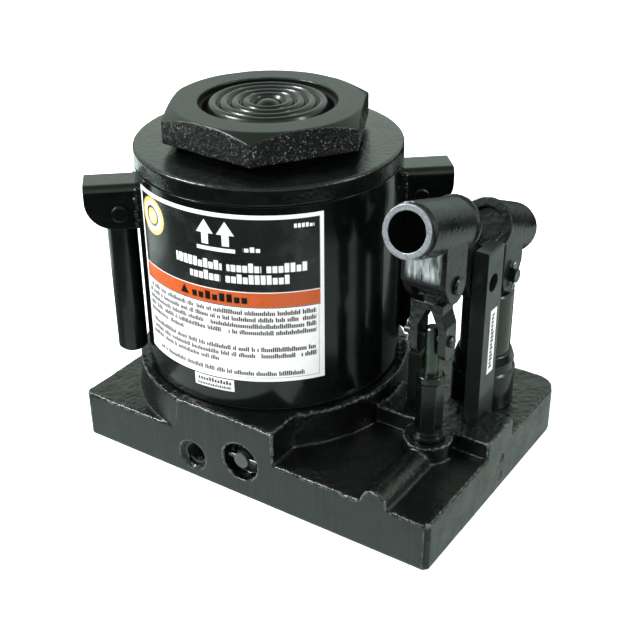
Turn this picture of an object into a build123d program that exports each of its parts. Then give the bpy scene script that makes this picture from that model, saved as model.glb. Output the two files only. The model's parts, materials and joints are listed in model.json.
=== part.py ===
# Short hydraulic bottle jack with two pump pistons, two handle sockets and two fold-down grips.
# Millimetres. The ram axis is Z, the underside of the base is Z = 0, the pumps stand towards +X
# and the release valve and the threaded port open in the front face, towards -Y.
from build123d import *
from math import atan2, cos, degrees, hypot, radians, sin, tan
import os

os.makedirs("parts", exist_ok=True)

# how a shape sits on its place: standing on it, or hanging below it
UPWARD = (Align.CENTER, Align.CENTER, Align.MIN)
DOWNWARD = (Align.CENTER, Align.CENTER, Align.MAX)

# ---- fits -------------------------------------------------------------------------------------
RUN = 0.05            # radial running clearance of pins, pistons and the ram
GAP = 0.4             # free gap between pieces that move past each other
SLOT_PLAY = 0.45      # room above and below a lever pin in its yoke slot

# ---- reservoir and lift -----------------------------------------------------------------------
TUBE_R = 88.0         # 7 in class steel tube, outside radius
TUBE_WALL = 7.0
TUBE_TOP = 213.0      # top face of the cover plate
COVER_BEVEL = 1.2
COVER_T = 12.0
COVER_SPIGOT = 7.0
GASKET_T = 1.5
RAM_R = 42.5
BORE_R = 46.0         # pressure cylinder bore
CYL_R = 57.0
CYL_FLOOR = 30.0
RAM_FLOOR = 40.0      # underside of the lowered ram
PISTON_H = 30.0
SEAL_H = 6.0
NUT_AF = 123.5        # across the flats of the top nut
NUT_BOTTOM = TUBE_TOP + 5.4
NUT_TURN = -63.7      # direction of one corner of the nut
NECK_R = 60.5
SKIRT_R = 50.0
SKIRT_BOTTOM = TUBE_TOP - 25.0
JACK_TOP = TUBE_TOP + 25.0
NUT_BEVEL = 28.0      # angle of the turned bevel, degrees
WIPER_T = 5.0
WIPER_W = 2.4
WIPER_DROP = 4.0
HEAD_T = 12.0         # ringed ram head
HEAD_STUB_R = 16.0
HEAD_STUB_H = 14.0
RING_RADII = (9.0, 16.5, 24.0, 31.5, 38.0)
RING_W = 2.2
RING_DEPTH = 1.6

# ---- base casting -----------------------------------------------------------------------------
BASE_LEFT = TUBE_R + 9.5
BASE_RIGHT = TUBE_R + 90.0
BASE_FRONT = TUBE_R + 7.5
BASE_REAR = TUBE_R + 11.0
BASE_T = 34.5
PLATFORM_T = 47.0
BOSS_T = 58.5
BOSS_R = TUBE_R + 7.0
BOSS_DRAFT = 4.0
PAD_LEFT = -13.0      # machined pad that carries the valve bore
PAD_RIGHT = 65.0
PLATFORM_FRONT = -16.0
PLATFORM_REAR = 20.0
CORNER_R = 5.0
CORNER_REAR_R = 16.0
CAST_EDGE = 1.6

# ---- pumps ------------------------------------------------------------------------------------
PUMP_X = TUBE_R + 51.5
FRONT_PUMP_Y = -27.0
REAR_PUMP_Y = 51.2
RIB_R = 10.0
PUMP_BOSS_R = 16.5
PUMP_PASSAGE_R = 1.5
STOP_W = 10.0          # square stop post beside the front pump
STOP_BACK = 27.5       # from the pump axis to the middle of the stop
STOP_Y = 8.0
STOP_TOP = 84.0
STOP_FOOT = 8.0
FRONT_ROD_R = 4.5
FRONT_BORE_FLOOR = 36.0
FRONT_HEX_AF = 2 * FRONT_ROD_R + 6.5
FRONT_HEX_TURN = -37.0    # direction of one corner of the pump hexagon
FRONT_BODY_TOP = 88.0
FRONT_GLAND_R = FRONT_ROD_R + 4.3
FRONT_GLAND_T = 5.6
FRONT_PACK_R = FRONT_ROD_R + 2.1
FRONT_ROD_LIFT = 15.0     # lowest rod end over the bore floor, stored
FRONT_ROD_OVER = 7.0      # rod end over its cross pin
FRONT_FLANGE_R = 11.0
FRONT_FLANGE_T = 2.6
FRONT_STEP = 1.4          # the flange's second step is this much smaller and as thick again
FRONT_SPIGOT_R = FRONT_ROD_R + 2.5
FRONT_SPIGOT_H = 13.0
FRONT_BALL_R = 4.0
REAR_ROD_R = 17.0
REAR_BORE_FLOOR = 27.0
REAR_BODY_R = REAR_ROD_R + 4.5
REAR_BODY_TOP = 62.0
REAR_GLAND_T = 13.0
GLAND_STEP = 1.2
REAR_PACK_R = REAR_ROD_R + 2.0
REAR_SPIGOT_R = REAR_ROD_R + 3.0
REAR_SPIGOT_H = 12.0
REAR_BALL_R = 6.0
REAR_ROD_LIFT = 6.0
REAR_EYE_GAP = 1.2        # from the lever cheeks down to the rear piston
BALL_PLAY = 0.3
PACK_H = 5.0
ROD_CHAMFER = 1.2

# ---- levers, yokes and fulcrum ----------------------------------------------------------------
POST_X = PUMP_X + 14.3
POST_W = 10.4
POST_FRONT = 5.0
POST_D = 21.6
POST_TOP = 167.0
POST_FOOT = 8.0
POST_BEVEL = 0.8
FULCRUM_Y = 14.0
FULCRUM_Z = 144.5
FULCRUM_R = 6.0
FULCRUM_SET = 3.5         # pin end behind the outer face of the post
FULCRUM_REACH = 5.0
CLIP_T = 1.6
CLIP_RIM = 3.5
CLIP_BITE = 1.0
CLIP_MOUTH = 9.0
KNUCKLE_R = 13.0
FRONT_ARM_TILT = 19.5     # stored angle of the front lever arm above level, degrees
REAR_ARM_TILT = -17.2     # stored angle of the rear lever arm, below level
FRONT_TRAVEL = (-6.0, 17.0)
REAR_TRAVEL = (-6.0, 20.0)
SOCKET_R = 17.0
SOCKET_RING_R = SOCKET_R - 1.2
SOCKET_RING_L = 4.5
SOCKET_BORE_R = 11.8
SOCKET_LIP = 1.0          # raised ring at the tail of a socket
SOCKET_LIP_L = 3.5
SOCKET_STOP = 9.0         # from the tail end to the face that stops the handle
SOCKET_STOP_T = 3.0
ARM_FOOT_R = 8.0
FRONT_SOCKET = (16.7, 34.6, 39.0, 23.0)   # rise of the mouth in degrees, height over the pin,
REAR_SOCKET = (-22.7, 31.3, 37.7, 13.8)   # length from there to the mouth, and to the tail
YOKE_W = 30.0
CHEEK_T = 4.5
CHEEK_R = 12.0
WEB_REACH = 16.0
WEB_T = 3.0
WEB_DROP = 4.0
LINK_PIN_R = 4.5
FORK_W = 25.0
FORK_D = 14.0
FORK_LEG = 5.5
FORK_LINK = 39.0          # slot centre to cross pin
FORK_TAIL = 13.0
FORK_SHOULDER = 13.2
STEM_W = 11.0
EYE_W = 14.0
EYE_WALL = 3.3
EYE_R = LINK_PIN_R + SLOT_PLAY + EYE_WALL
CROSS_PIN_R = 2.5
CROSS_REACH = 19.0
LINK_REACH = 19.5
PIN_HEAD_T = 2.2
PIN_HEAD_RIM = 1.2
COTTER_SET = 2.5          # split pin hole from the end of its pin
COTTER_R = 0.9
COTTER_LOOP = 1.9
COTTER_SPREAD = 28.0
COTTER_TAIL = 4.5
SLOT_END_PLAY = 0.4

# ---- grips ------------------------------------------------------------------------------------
BRACKET_TURN = 41.0       # direction of the right grip bracket
BRACKET_END = TUBE_R + 33.5
BRACKET_TOP = TUBE_TOP - 23.5
BRACKET_H = 30.0
BRACKET_W = 27.0
BRACKET_T = 3.0
BRACKET_BEND = 5.0
BRACKET_CORNER = 19.0
GRIP_R = 10.0
GRIP_REACH = TUBE_R + 11.4
GRIP_PIN_Z = BRACKET_TOP - 19.2
GRIP_LENGTH = 105.8
GRIP_PIN_R = 4.5
GRIP_BEVEL = 2.0
RIVET_RIM = 1.2
RIVET_H = 1.8

# ---- valve, port and small fittings -----------------------------------------------------------
VALVE_X = 38.3
VALVE_Z = 26.9
VALVE_RECESS_R = 13.2
VALVE_RECESS = 9.0
VALVE_BORE_R = 7.0
VALVE_DEPTH = 40.0
VALVE_STEM_R = 5.5
VALVE_BALL_R = 4.0
VALVE_SET = 1.5           # spindle end behind the front face
VALVE_PIN_R = 2.0
VALVE_PIN_SET = 5.0
PORT_X = -1.4
PORT_Z = 16.6
PORT_R = 8.5
PORT_DEPTH = 24.0
PORT_MOUTH_R = 10.8
DRILL_R = 3.0
DRILL_Y = 5.3
DRILL_HEIGHTS = (8.9, 23.6)
DRILL_LENGTHS = (60.0, 150.0)
PLUG_T = 5.0
PLUG_SET = 0.6
FILLER_TURN = 100.0
FILLER_Z = 176.0
FILLER_R = 7.0
FILLER_RIM = 3.0
FILLER_SLOT = (2.0, 9.0, 1.8)
LABEL_T = 0.35
LABEL_SPAN = 88.0
LABEL_TURN = -77.0
LABEL_LOW = 80.5
LABEL_H = 115.5
STICKER_SPAN = 18.6
STICKER_TURN = -80.9
STICKER_LOW = 71.0
STICKER_H = 8.6
STRIP_Y = 12.5            # from the front of the post to the middle of its strip
STRIP_Z = 101.0
STRIP_W = 8.5
STRIP_H = 47.0

# ---- sizes that follow from the ones above ----------------------------------------------------
GLAND_TOP = FRONT_BODY_TOP + FRONT_GLAND_T
TUBE_BOTTOM = BOSS_T + GASKET_T
FRONT_REACH = FULCRUM_Y - FRONT_PUMP_Y
REAR_REACH = REAR_PUMP_Y - FULCRUM_Y
FRONT_PIN_Z = FULCRUM_Z + FRONT_REACH * tan(radians(FRONT_ARM_TILT))
REAR_PIN_Z = FULCRUM_Z + REAR_REACH * tan(radians(REAR_ARM_TILT))
ARM_W = (YOKE_W / 2 - CHEEK_T) - 0.1
FRONT_ARM_X = POST_X - POST_W / 2 - GAP - ARM_W
REAR_ARM_X = FRONT_ARM_X - GAP - ARM_W


def save(piece, name):
    """Name a finished piece and write its STEP file."""
    piece.label = name
    export_step(piece, "parts/" + name + ".step")


# ================================ base casting =================================================
with BuildPart() as base:
    with BuildSketch(Plane.XY) as footprint:
        with Locations(((BASE_RIGHT - BASE_LEFT) / 2, (BASE_REAR - BASE_FRONT) / 2)):
            Rectangle(BASE_LEFT + BASE_RIGHT, BASE_FRONT + BASE_REAR)
        rear_right = footprint.vertices().group_by(Axis.X)[-1].sort_by(Axis.Y)[-1]
        fillet(rear_right, CORNER_REAR_R)
        sharp = footprint.vertices().filter_by(
            lambda v: abs(v.X + BASE_LEFT) < 0.01 or abs(v.Y + BASE_FRONT) < 0.01
        )
        fillet(sharp, CORNER_R)
    extrude(amount=BASE_T)
    fillet(base.faces().sort_by(Axis.Z)[-1].edges(), CAST_EDGE)
    # drafted round boss under the reservoir, and the square pad that runs to the front face
    with BuildSketch(Plane.XY):
        Circle(BOSS_R + BOSS_T * tan(radians(BOSS_DRAFT)))
    extrude(amount=BOSS_T, taper=BOSS_DRAFT)
    with BuildSketch(Plane.XY):
        with Locations(((PAD_LEFT + PAD_RIGHT) / 2, -BASE_FRONT / 2)):
            Rectangle(PAD_RIGHT - PAD_LEFT, BASE_FRONT)
    extrude(amount=BOSS_T)
    # pump platform, the round seat of the front pump and the half-round oil rib
    with BuildSketch(Plane.XY):
        with Locations(((BASE_RIGHT + TUBE_R / 2) / 2, (PLATFORM_FRONT + PLATFORM_REAR) / 2)):
            Rectangle(BASE_RIGHT - TUBE_R / 2, PLATFORM_REAR - PLATFORM_FRONT)
        with Locations((PUMP_X, FRONT_PUMP_Y)):
            Circle(PUMP_BOSS_R)
    extrude(amount=PLATFORM_T)
    with BuildSketch(Plane.XZ.offset(BASE_FRONT)):
        with Locations((PUMP_X, BASE_T)):
            Circle(RIB_R)
    extrude(amount=-(BASE_FRONT + FRONT_PUMP_Y))
    # everything is trimmed to the rounded footprint
    with BuildSketch(Plane.XY):
        add(footprint.sketch)
    extrude(amount=2 * BOSS_T, mode=Mode.INTERSECT)
    rim_edges = base.faces().filter_by(Axis.Z).filter_by(
        lambda f: abs(f.center().Z - BOSS_T) < 0.01
    ).edges()
    fillet(rim_edges, CAST_EDGE)
    # seat of the pressure cylinder
    with Locations((0, 0, CYL_FLOOR)):
        Cylinder(CYL_R, 2 * BOSS_T, align=UPWARD, mode=Mode.SUBTRACT)
    # pump seats with the ball pockets under them
    with Locations((PUMP_X, FRONT_PUMP_Y, PLATFORM_T - FRONT_SPIGOT_H)):
        Cylinder(FRONT_SPIGOT_R, 2 * FRONT_SPIGOT_H, align=UPWARD, mode=Mode.SUBTRACT)
        Cylinder(
            FRONT_BALL_R + BALL_PLAY,
            2 * (FRONT_BALL_R + BALL_PLAY),
            align=DOWNWARD,
            mode=Mode.SUBTRACT,
        )
    with Locations((PUMP_X, REAR_PUMP_Y, BASE_T - REAR_SPIGOT_H)):
        Cylinder(REAR_SPIGOT_R, 2 * REAR_SPIGOT_H, align=UPWARD, mode=Mode.SUBTRACT)
        Cylinder(
            REAR_BALL_R + BALL_PLAY,
            2 * (REAR_BALL_R + BALL_PLAY),
            align=DOWNWARD,
            mode=Mode.SUBTRACT,
        )
    # pocket of the fulcrum post
    with Locations((POST_X, POST_FRONT + POST_D / 2, PLATFORM_T - POST_FOOT)):
        Box(POST_W, POST_D, 2 * POST_FOOT, align=UPWARD, mode=Mode.SUBTRACT)
    # pocket of the stop post
    with Locations((PUMP_X - STOP_BACK, STOP_Y, PLATFORM_T - STOP_FOOT)):
        Box(STOP_W, STOP_W, 2 * STOP_FOOT, align=UPWARD, mode=Mode.SUBTRACT)
    # release valve bore and threaded port in the front face
    with BuildSketch(Plane.XZ.offset(BASE_FRONT)):
        with Locations((VALVE_X, VALVE_Z)):
            Circle(VALVE_RECESS_R)
    extrude(amount=-VALVE_RECESS, mode=Mode.SUBTRACT)
    with BuildSketch(Plane.XZ.offset(BASE_FRONT)):
        with Locations((VALVE_X, VALVE_Z)):
            Circle(VALVE_BORE_R)
    extrude(amount=-VALVE_DEPTH, mode=Mode.SUBTRACT)
    with BuildSketch(Plane.XZ.offset(BASE_FRONT)):
        with Locations((PORT_X, PORT_Z)):
            Circle(PORT_R)
    extrude(amount=-PORT_DEPTH, mode=Mode.SUBTRACT)
    with BuildSketch(Plane.XZ.offset(BASE_FRONT)):
        with Locations((PORT_X, PORT_Z)):
            Circle(PORT_MOUTH_R)
    extrude(amount=-(PORT_MOUTH_R - PORT_R), taper=45, mode=Mode.SUBTRACT)
    # cross drillings from the right face
    for height, length in zip(DRILL_HEIGHTS, DRILL_LENGTHS):
        with BuildSketch(Plane.YZ.offset(BASE_RIGHT)):
            with Locations((DRILL_Y, height)):
                Circle(DRILL_R)
        extrude(amount=-length, mode=Mode.SUBTRACT)
save(base.part, "base")

with BuildPart() as passage_plugs:
    for height in DRILL_HEIGHTS:
        with BuildSketch(Plane.YZ.offset(BASE_RIGHT - PLUG_SET)):
            with Locations((DRILL_Y, height)):
                Circle(DRILL_R)
        extrude(amount=-PLUG_T)
save(passage_plugs.part, "passage_plugs")

with BuildPart() as check_balls:
    with Locations((PUMP_X, FRONT_PUMP_Y, PLATFORM_T - FRONT_SPIGOT_H - FRONT_BALL_R - 2 * BALL_PLAY)):
        Sphere(FRONT_BALL_R)
    with Locations((PUMP_X, REAR_PUMP_Y, BASE_T - REAR_SPIGOT_H - REAR_BALL_R - 2 * BALL_PLAY)):
        Sphere(REAR_BALL_R)
save(check_balls.part, "check_balls")

# ================================ reservoir ====================================================
with BuildPart() as reservoir_tube:
    with BuildSketch(Plane.XY.offset(TUBE_BOTTOM)):
        Circle(TUBE_R)
        Circle(TUBE_R - TUBE_WALL, mode=Mode.SUBTRACT)
    extrude(amount=TUBE_TOP - COVER_T - TUBE_BOTTOM)
    with Locations(Location((0, 0, 0), (0, 0, FILLER_TURN))):
        with Locations((TUBE_R, 0, FILLER_Z)):
            Cylinder(FILLER_R, 4 * TUBE_WALL, rotation=(0, 90, 0), mode=Mode.SUBTRACT)
save(reservoir_tube.part, "reservoir_tube")

with BuildPart() as foot_gasket:
    with BuildSketch(Plane.XY.offset(BOSS_T)):
        Circle(TUBE_R - 0.8)
        Circle(TUBE_R - TUBE_WALL - 2.0, mode=Mode.SUBTRACT)
    extrude(amount=GASKET_T)
save(foot_gasket.part, "foot_gasket")

with BuildPart() as filler_plug:
    with Locations(Location((0, 0, 0), (0, 0, FILLER_TURN))):
        with Locations((TUBE_R - TUBE_WALL - 1.0, 0, FILLER_Z)):
            Cylinder(
                FILLER_R, TUBE_WALL + 1.0, rotation=(0, 90, 0), align=UPWARD
            )
        with Locations((TUBE_R + 0.3, 0, FILLER_Z)):
            Cylinder(
                FILLER_R + FILLER_RIM, FILLER_RIM, rotation=(0, 90, 0), align=UPWARD
            )
            Cylinder(FILLER_R, FILLER_RIM, rotation=(0, 90, 0))
    with Locations(Location((0, 0, 0), (0, 0, FILLER_TURN))):
        with Locations((TUBE_R + FILLER_RIM + 0.3, 0, FILLER_Z)):
            Box(*FILLER_SLOT, mode=Mode.SUBTRACT)
save(filler_plug.part, "filler_plug")

with BuildPart() as cover_plate:
    with BuildSketch(Plane.XY.offset(TUBE_TOP)):
        Circle(TUBE_R)
    extrude(amount=-COVER_T)
    with BuildSketch(Plane.XY.offset(TUBE_TOP - COVER_T)):
        Circle(TUBE_R - TUBE_WALL - RUN)
    extrude(amount=-COVER_SPIGOT)
    with BuildSketch(Plane.XY.offset(TUBE_TOP - COVER_T - COVER_SPIGOT / 2)):
        Circle(TUBE_R)
        Circle(TUBE_R - TUBE_WALL - 3.6, mode=Mode.SUBTRACT)
    extrude(amount=1.8, both=True, mode=Mode.SUBTRACT)
    with BuildSketch(Plane.XY.offset(TUBE_TOP)):
        Circle(CYL_R + RUN)
    extrude(amount=-2 * COVER_T, mode=Mode.SUBTRACT)
    rims = cover_plate.edges().filter_by(GeomType.CIRCLE).group_by(SortBy.RADIUS)[-1]
    chamfer(rims.sort_by(Axis.Z)[-1], COVER_BEVEL)
save(cover_plate.part, "cover_plate")

with BuildPart() as cover_seal:
    with BuildSketch(Plane.XZ):
        with Locations((TUBE_R - TUBE_WALL - 1.85, TUBE_TOP - COVER_T - COVER_SPIGOT / 2)):
            Circle(1.75)
    revolve(axis=Axis.Z)
save(cover_seal.part, "cover_seal")

# ================================ lifting parts ================================================
with BuildPart() as pressure_cylinder:
    with BuildSketch(Plane.XY.offset(CYL_FLOOR)):
        Circle(CYL_R)
        Circle(BORE_R, mode=Mode.SUBTRACT)
    extrude(amount=TUBE_TOP - CYL_FLOOR)
    with BuildSketch(Plane.XY.offset(SKIRT_BOTTOM)):
        Circle(SKIRT_R)
    extrude(amount=TUBE_TOP - SKIRT_BOTTOM, mode=Mode.SUBTRACT)
save(pressure_cylinder.part, "pressure_cylinder")

with BuildPart() as top_nut:
    with BuildSketch(Plane.XY.offset(NUT_BOTTOM)):
        RegularPolygon(NUT_AF / 2, 6, major_radius=False, rotation=NUT_TURN)
    extrude(amount=JACK_TOP - NUT_BOTTOM)
    with BuildSketch(Plane.XZ):
        with BuildLine():
            Polyline(
                (0, NUT_BOTTOM),
                (0.7 * NUT_AF, NUT_BOTTOM),
                (0.7 * NUT_AF, JACK_TOP - 0.2 * NUT_AF * tan(radians(NUT_BEVEL))),
                (NUT_AF / 2, JACK_TOP),
                (0, JACK_TOP),
                close=True,
            )
        make_face()
    revolve(axis=Axis.Z, mode=Mode.INTERSECT)
    with BuildSketch(Plane.XY.offset(TUBE_TOP)):
        Circle(NECK_R)
    extrude(amount=NUT_BOTTOM - TUBE_TOP)
    with BuildSketch(Plane.XY.offset(SKIRT_BOTTOM)):
        Circle(SKIRT_R)
    extrude(amount=TUBE_TOP - SKIRT_BOTTOM)
    with BuildSketch(Plane.XY.offset(SKIRT_BOTTOM)):
        Circle(RAM_R + RUN)
    extrude(amount=JACK_TOP - SKIRT_BOTTOM, mode=Mode.SUBTRACT)
    with BuildSketch(Plane.XY.offset(JACK_TOP)):
        Circle(RAM_R + WIPER_W)
    extrude(amount=-(WIPER_DROP + WIPER_T), mode=Mode.SUBTRACT)
save(top_nut.part, "top_nut")

with BuildPart() as wiper:
    with BuildSketch(Plane.XY.offset(JACK_TOP - WIPER_DROP)):
        Circle(RAM_R + WIPER_W)
        Circle(RAM_R + RUN, mode=Mode.SUBTRACT)
    extrude(amount=-WIPER_T)
save(wiper.part, "wiper")

SEAL_Z = RAM_FLOOR + 5.0
GUIDE_Z = RAM_FLOOR + PISTON_H - 5.0 - SEAL_H
with BuildPart() as ram:
    with BuildSketch(Plane.XY.offset(RAM_FLOOR)):
        Circle(RAM_R)
    extrude(amount=JACK_TOP - HEAD_T - RAM_FLOOR)
    with BuildSketch(Plane.XY.offset(RAM_FLOOR)):
        Circle(BORE_R - RUN)
    extrude(amount=PISTON_H)
    for groove_z in (SEAL_Z, GUIDE_Z):
        with BuildSketch(Plane.XY.offset(groove_z)):
            Circle(BORE_R)
            Circle(RAM_R - 3.0, mode=Mode.SUBTRACT)
        extrude(amount=SEAL_H, mode=Mode.SUBTRACT)
    with BuildSketch(Plane.XY.offset(JACK_TOP - HEAD_T)):
        Circle(HEAD_STUB_R)
    extrude(amount=-HEAD_STUB_H, mode=Mode.SUBTRACT)
save(ram.part, "ram")

with BuildPart() as piston_seal:
    with BuildSketch(Plane.XY.offset(SEAL_Z)):
        Circle(BORE_R - RUN)
        Circle(RAM_R - 3.0, mode=Mode.SUBTRACT)
    extrude(amount=SEAL_H)
save(piston_seal.part, "piston_seal")

with BuildPart() as guide_ring:
    with BuildSketch(Plane.XY.offset(GUIDE_Z)):
        Circle(BORE_R - RUN)
        Circle(RAM_R - 3.0, mode=Mode.SUBTRACT)
    extrude(amount=SEAL_H)
save(guide_ring.part, "guide_ring")

with BuildPart() as ram_head:
    with BuildSketch(Plane.XY.offset(JACK_TOP - HEAD_T)):
        Circle(RAM_R)
    extrude(amount=HEAD_T)
    chamfer(ram_head.edges().group_by(Axis.Z)[-1], 1.0)
    for ring_r in RING_RADII:
        with BuildSketch(Plane.XY.offset(JACK_TOP)):
            Circle(ring_r + RING_W / 2)
            Circle(ring_r - RING_W / 2, mode=Mode.SUBTRACT)
        extrude(amount=-RING_DEPTH, mode=Mode.SUBTRACT)
    with BuildSketch(Plane.XY.offset(JACK_TOP - HEAD_T)):
        Circle(HEAD_STUB_R)
    extrude(amount=-HEAD_STUB_H)
save(ram_head.part, "ram_head")

# ================================ grips ========================================================
def bracket_form():
    """Folded channel seen along +X from the tube, cheeks at both sides, pin hole near its end."""
    with BuildPart() as form:
        with BuildSketch(Plane.XZ):
            with Locations(((TUBE_R / 2 + BRACKET_END) / 2, BRACKET_TOP - BRACKET_H / 2)):
                side = Rectangle(BRACKET_END - TUBE_R / 2, BRACKET_H)
            fillet(side.vertices().group_by(Axis.X)[-1].sort_by(Axis.Z)[0], BRACKET_CORNER)
        extrude(amount=BRACKET_W / 2, both=True)
        fillet(
            form.edges().filter_by(Axis.X).filter_by(lambda e: e.center().Z > BRACKET_TOP - 0.1),
            BRACKET_BEND,
        )
        with BuildSketch(Plane.YZ.offset(TUBE_R / 2)):
            with Locations((0, BRACKET_TOP - BRACKET_T)):
                hollow = Rectangle(BRACKET_W - 2 * BRACKET_T, 2 * BRACKET_H, align=(Align.CENTER, Align.MAX))
            fillet(hollow.vertices().sort_by(Axis.Z)[-2:], BRACKET_BEND - BRACKET_T)
        extrude(amount=BRACKET_END, mode=Mode.SUBTRACT)
        with Locations((0, 0, BRACKET_TOP)):
            Cylinder(TUBE_R, 4 * BRACKET_H, mode=Mode.SUBTRACT)
        with Locations((GRIP_REACH, 0, GRIP_PIN_Z)):
            Cylinder(GRIP_PIN_R, 2 * BRACKET_W, rotation=(90, 0, 0), mode=Mode.SUBTRACT)
    return form.part


def grip_form():
    """Round bar hanging from its pin, rounded over the eye and bevelled at the free end."""
    with BuildPart() as form:
        with Locations((GRIP_REACH, 0, GRIP_PIN_Z)):
            Cylinder(GRIP_R, GRIP_LENGTH, align=DOWNWARD)
            Sphere(GRIP_R)
            Cylinder(GRIP_PIN_R + RUN, 4 * GRIP_R, rotation=(90, 0, 0), mode=Mode.SUBTRACT)
        chamfer(form.edges().group_by(Axis.Z)[0], GRIP_BEVEL)
    return form.part


def grip_pin_form():
    """Riveted cross pin through both cheeks of a bracket, domed at both ends."""
    with BuildPart() as form:
        with Locations((GRIP_REACH, 0, GRIP_PIN_Z)):
            Cylinder(GRIP_PIN_R, BRACKET_W, rotation=(90, 0, 0))
        for side in (1, -1):
            with Locations((GRIP_REACH, side * (BRACKET_W + RIVET_H) / 2, GRIP_PIN_Z)):
                Cylinder(GRIP_PIN_R + RIVET_RIM, RIVET_H, rotation=(90, 0, 0))
        ends = form.edges().filter_by(GeomType.CIRCLE).group_by(Axis.Y)
        chamfer(ends[0] + ends[-1], RIVET_H / 2)
    return form.part


for name, form in (("bracket", bracket_form()), ("grip", grip_form()), ("grip_pin", grip_pin_form())):
    for hand, turn in (("left", BRACKET_TURN + 180), ("right", BRACKET_TURN)):
        with BuildPart() as placed:
            with Locations(Location((0, 0, 0), (0, 0, turn))):
                add(form)
        save(placed.part, hand + "_" + name)

# ================================ pumps ========================================================
with BuildPart() as front_pump_body:
    with Locations((PUMP_X, FRONT_PUMP_Y, PLATFORM_T)):
        Cylinder(FRONT_SPIGOT_R, FRONT_SPIGOT_H, align=DOWNWARD)
        Cylinder(FRONT_FLANGE_R, FRONT_FLANGE_T, align=UPWARD)
        Cylinder(FRONT_FLANGE_R - FRONT_STEP, 2 * FRONT_FLANGE_T, align=UPWARD)
    with BuildSketch(Plane.XY.offset(PLATFORM_T + 2 * FRONT_FLANGE_T)):
        with Locations((PUMP_X, FRONT_PUMP_Y)):
            RegularPolygon(FRONT_HEX_AF / 2, 6, major_radius=False, rotation=FRONT_HEX_TURN)
    extrude(amount=FRONT_BODY_TOP - PLATFORM_T - 2 * FRONT_FLANGE_T)
    with Locations((PUMP_X, FRONT_PUMP_Y, FRONT_BORE_FLOOR)):
        Cylinder(FRONT_ROD_R + RUN, 2 * FRONT_BODY_TOP, align=UPWARD, mode=Mode.SUBTRACT)
    with Locations((PUMP_X, FRONT_PUMP_Y, FRONT_BODY_TOP)):
        Cylinder(FRONT_PACK_R, 2 * PACK_H, align=DOWNWARD, mode=Mode.SUBTRACT)
    with Locations((PUMP_X, FRONT_PUMP_Y, FRONT_BORE_FLOOR)):
        Cylinder(PUMP_PASSAGE_R, FRONT_BODY_TOP, mode=Mode.SUBTRACT)
save(front_pump_body.part, "front_pump_body")

with BuildPart() as front_gland:
    with Locations((PUMP_X, FRONT_PUMP_Y, FRONT_BODY_TOP)):
        Cylinder(FRONT_GLAND_R, FRONT_GLAND_T, align=UPWARD)
    fillet(front_gland.edges().filter_by(GeomType.CIRCLE), 1.4)
    with Locations((PUMP_X, FRONT_PUMP_Y, FRONT_BODY_TOP)):
        Cylinder(FRONT_PACK_R, PACK_H, align=DOWNWARD)
        Cylinder(FRONT_ROD_R + RUN, 8 * PACK_H, mode=Mode.SUBTRACT)
save(front_gland.part, "front_gland")

with BuildPart() as rear_pump_body:
    with Locations((PUMP_X, REAR_PUMP_Y, BASE_T)):
        Cylinder(REAR_SPIGOT_R, REAR_SPIGOT_H, align=DOWNWARD)
        Cylinder(REAR_BODY_R, REAR_BODY_TOP - BASE_T, align=UPWARD)
    chamfer(rear_pump_body.edges().group_by(Axis.Z)[-1], 1.5)
    with Locations((PUMP_X, REAR_PUMP_Y, REAR_BORE_FLOOR)):
        Cylinder(REAR_ROD_R + RUN, 2 * REAR_BODY_TOP, align=UPWARD, mode=Mode.SUBTRACT)
    with Locations((PUMP_X, REAR_PUMP_Y, REAR_BODY_TOP)):
        Cylinder(REAR_PACK_R, 2 * PACK_H, align=DOWNWARD, mode=Mode.SUBTRACT)
    with Locations((PUMP_X, REAR_PUMP_Y, REAR_BORE_FLOOR)):
        Cylinder(PUMP_PASSAGE_R, REAR_BODY_TOP, mode=Mode.SUBTRACT)
save(rear_pump_body.part, "rear_pump_body")

with BuildPart() as rear_gland:
    with BuildSketch(Plane.XZ.offset(-REAR_PUMP_Y)):
        with BuildLine():
            Polyline(
                (PUMP_X, REAR_BODY_TOP - PACK_H),
                (PUMP_X + REAR_PACK_R, REAR_BODY_TOP - PACK_H),
                (PUMP_X + REAR_PACK_R, REAR_BODY_TOP),
                (PUMP_X + REAR_BODY_R - GLAND_STEP, REAR_BODY_TOP),
                (PUMP_X + REAR_BODY_R - GLAND_STEP, REAR_BODY_TOP + REAR_GLAND_T / 2),
                (PUMP_X + REAR_ROD_R + GLAND_STEP, REAR_BODY_TOP + REAR_GLAND_T),
                (PUMP_X, REAR_BODY_TOP + REAR_GLAND_T),
                close=True,
            )
        make_face()
    revolve(axis=Axis((PUMP_X, REAR_PUMP_Y, 0), (0, 0, 1)))
    fillet(rear_gland.edges().filter_by(GeomType.CIRCLE).sort_by(Axis.Z)[-2:], 2.0)
    with Locations((PUMP_X, REAR_PUMP_Y, REAR_BODY_TOP)):
        Cylinder(REAR_ROD_R + RUN, 8 * PACK_H, mode=Mode.SUBTRACT)
save(rear_gland.part, "rear_gland")

for name, seat_y, top, rod_r, pack_r in (
    ("front_packing", FRONT_PUMP_Y, FRONT_BODY_TOP, FRONT_ROD_R, FRONT_PACK_R),
    ("rear_packing", REAR_PUMP_Y, REAR_BODY_TOP, REAR_ROD_R, REAR_PACK_R),
):
    with BuildPart() as packing:
        with BuildSketch(Plane.XY.offset(top - PACK_H)):
            with Locations((PUMP_X, seat_y)):
                Circle(pack_r)
                Circle(rod_r + RUN, mode=Mode.SUBTRACT)
        extrude(amount=-PACK_H)
    save(packing.part, name)

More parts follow.
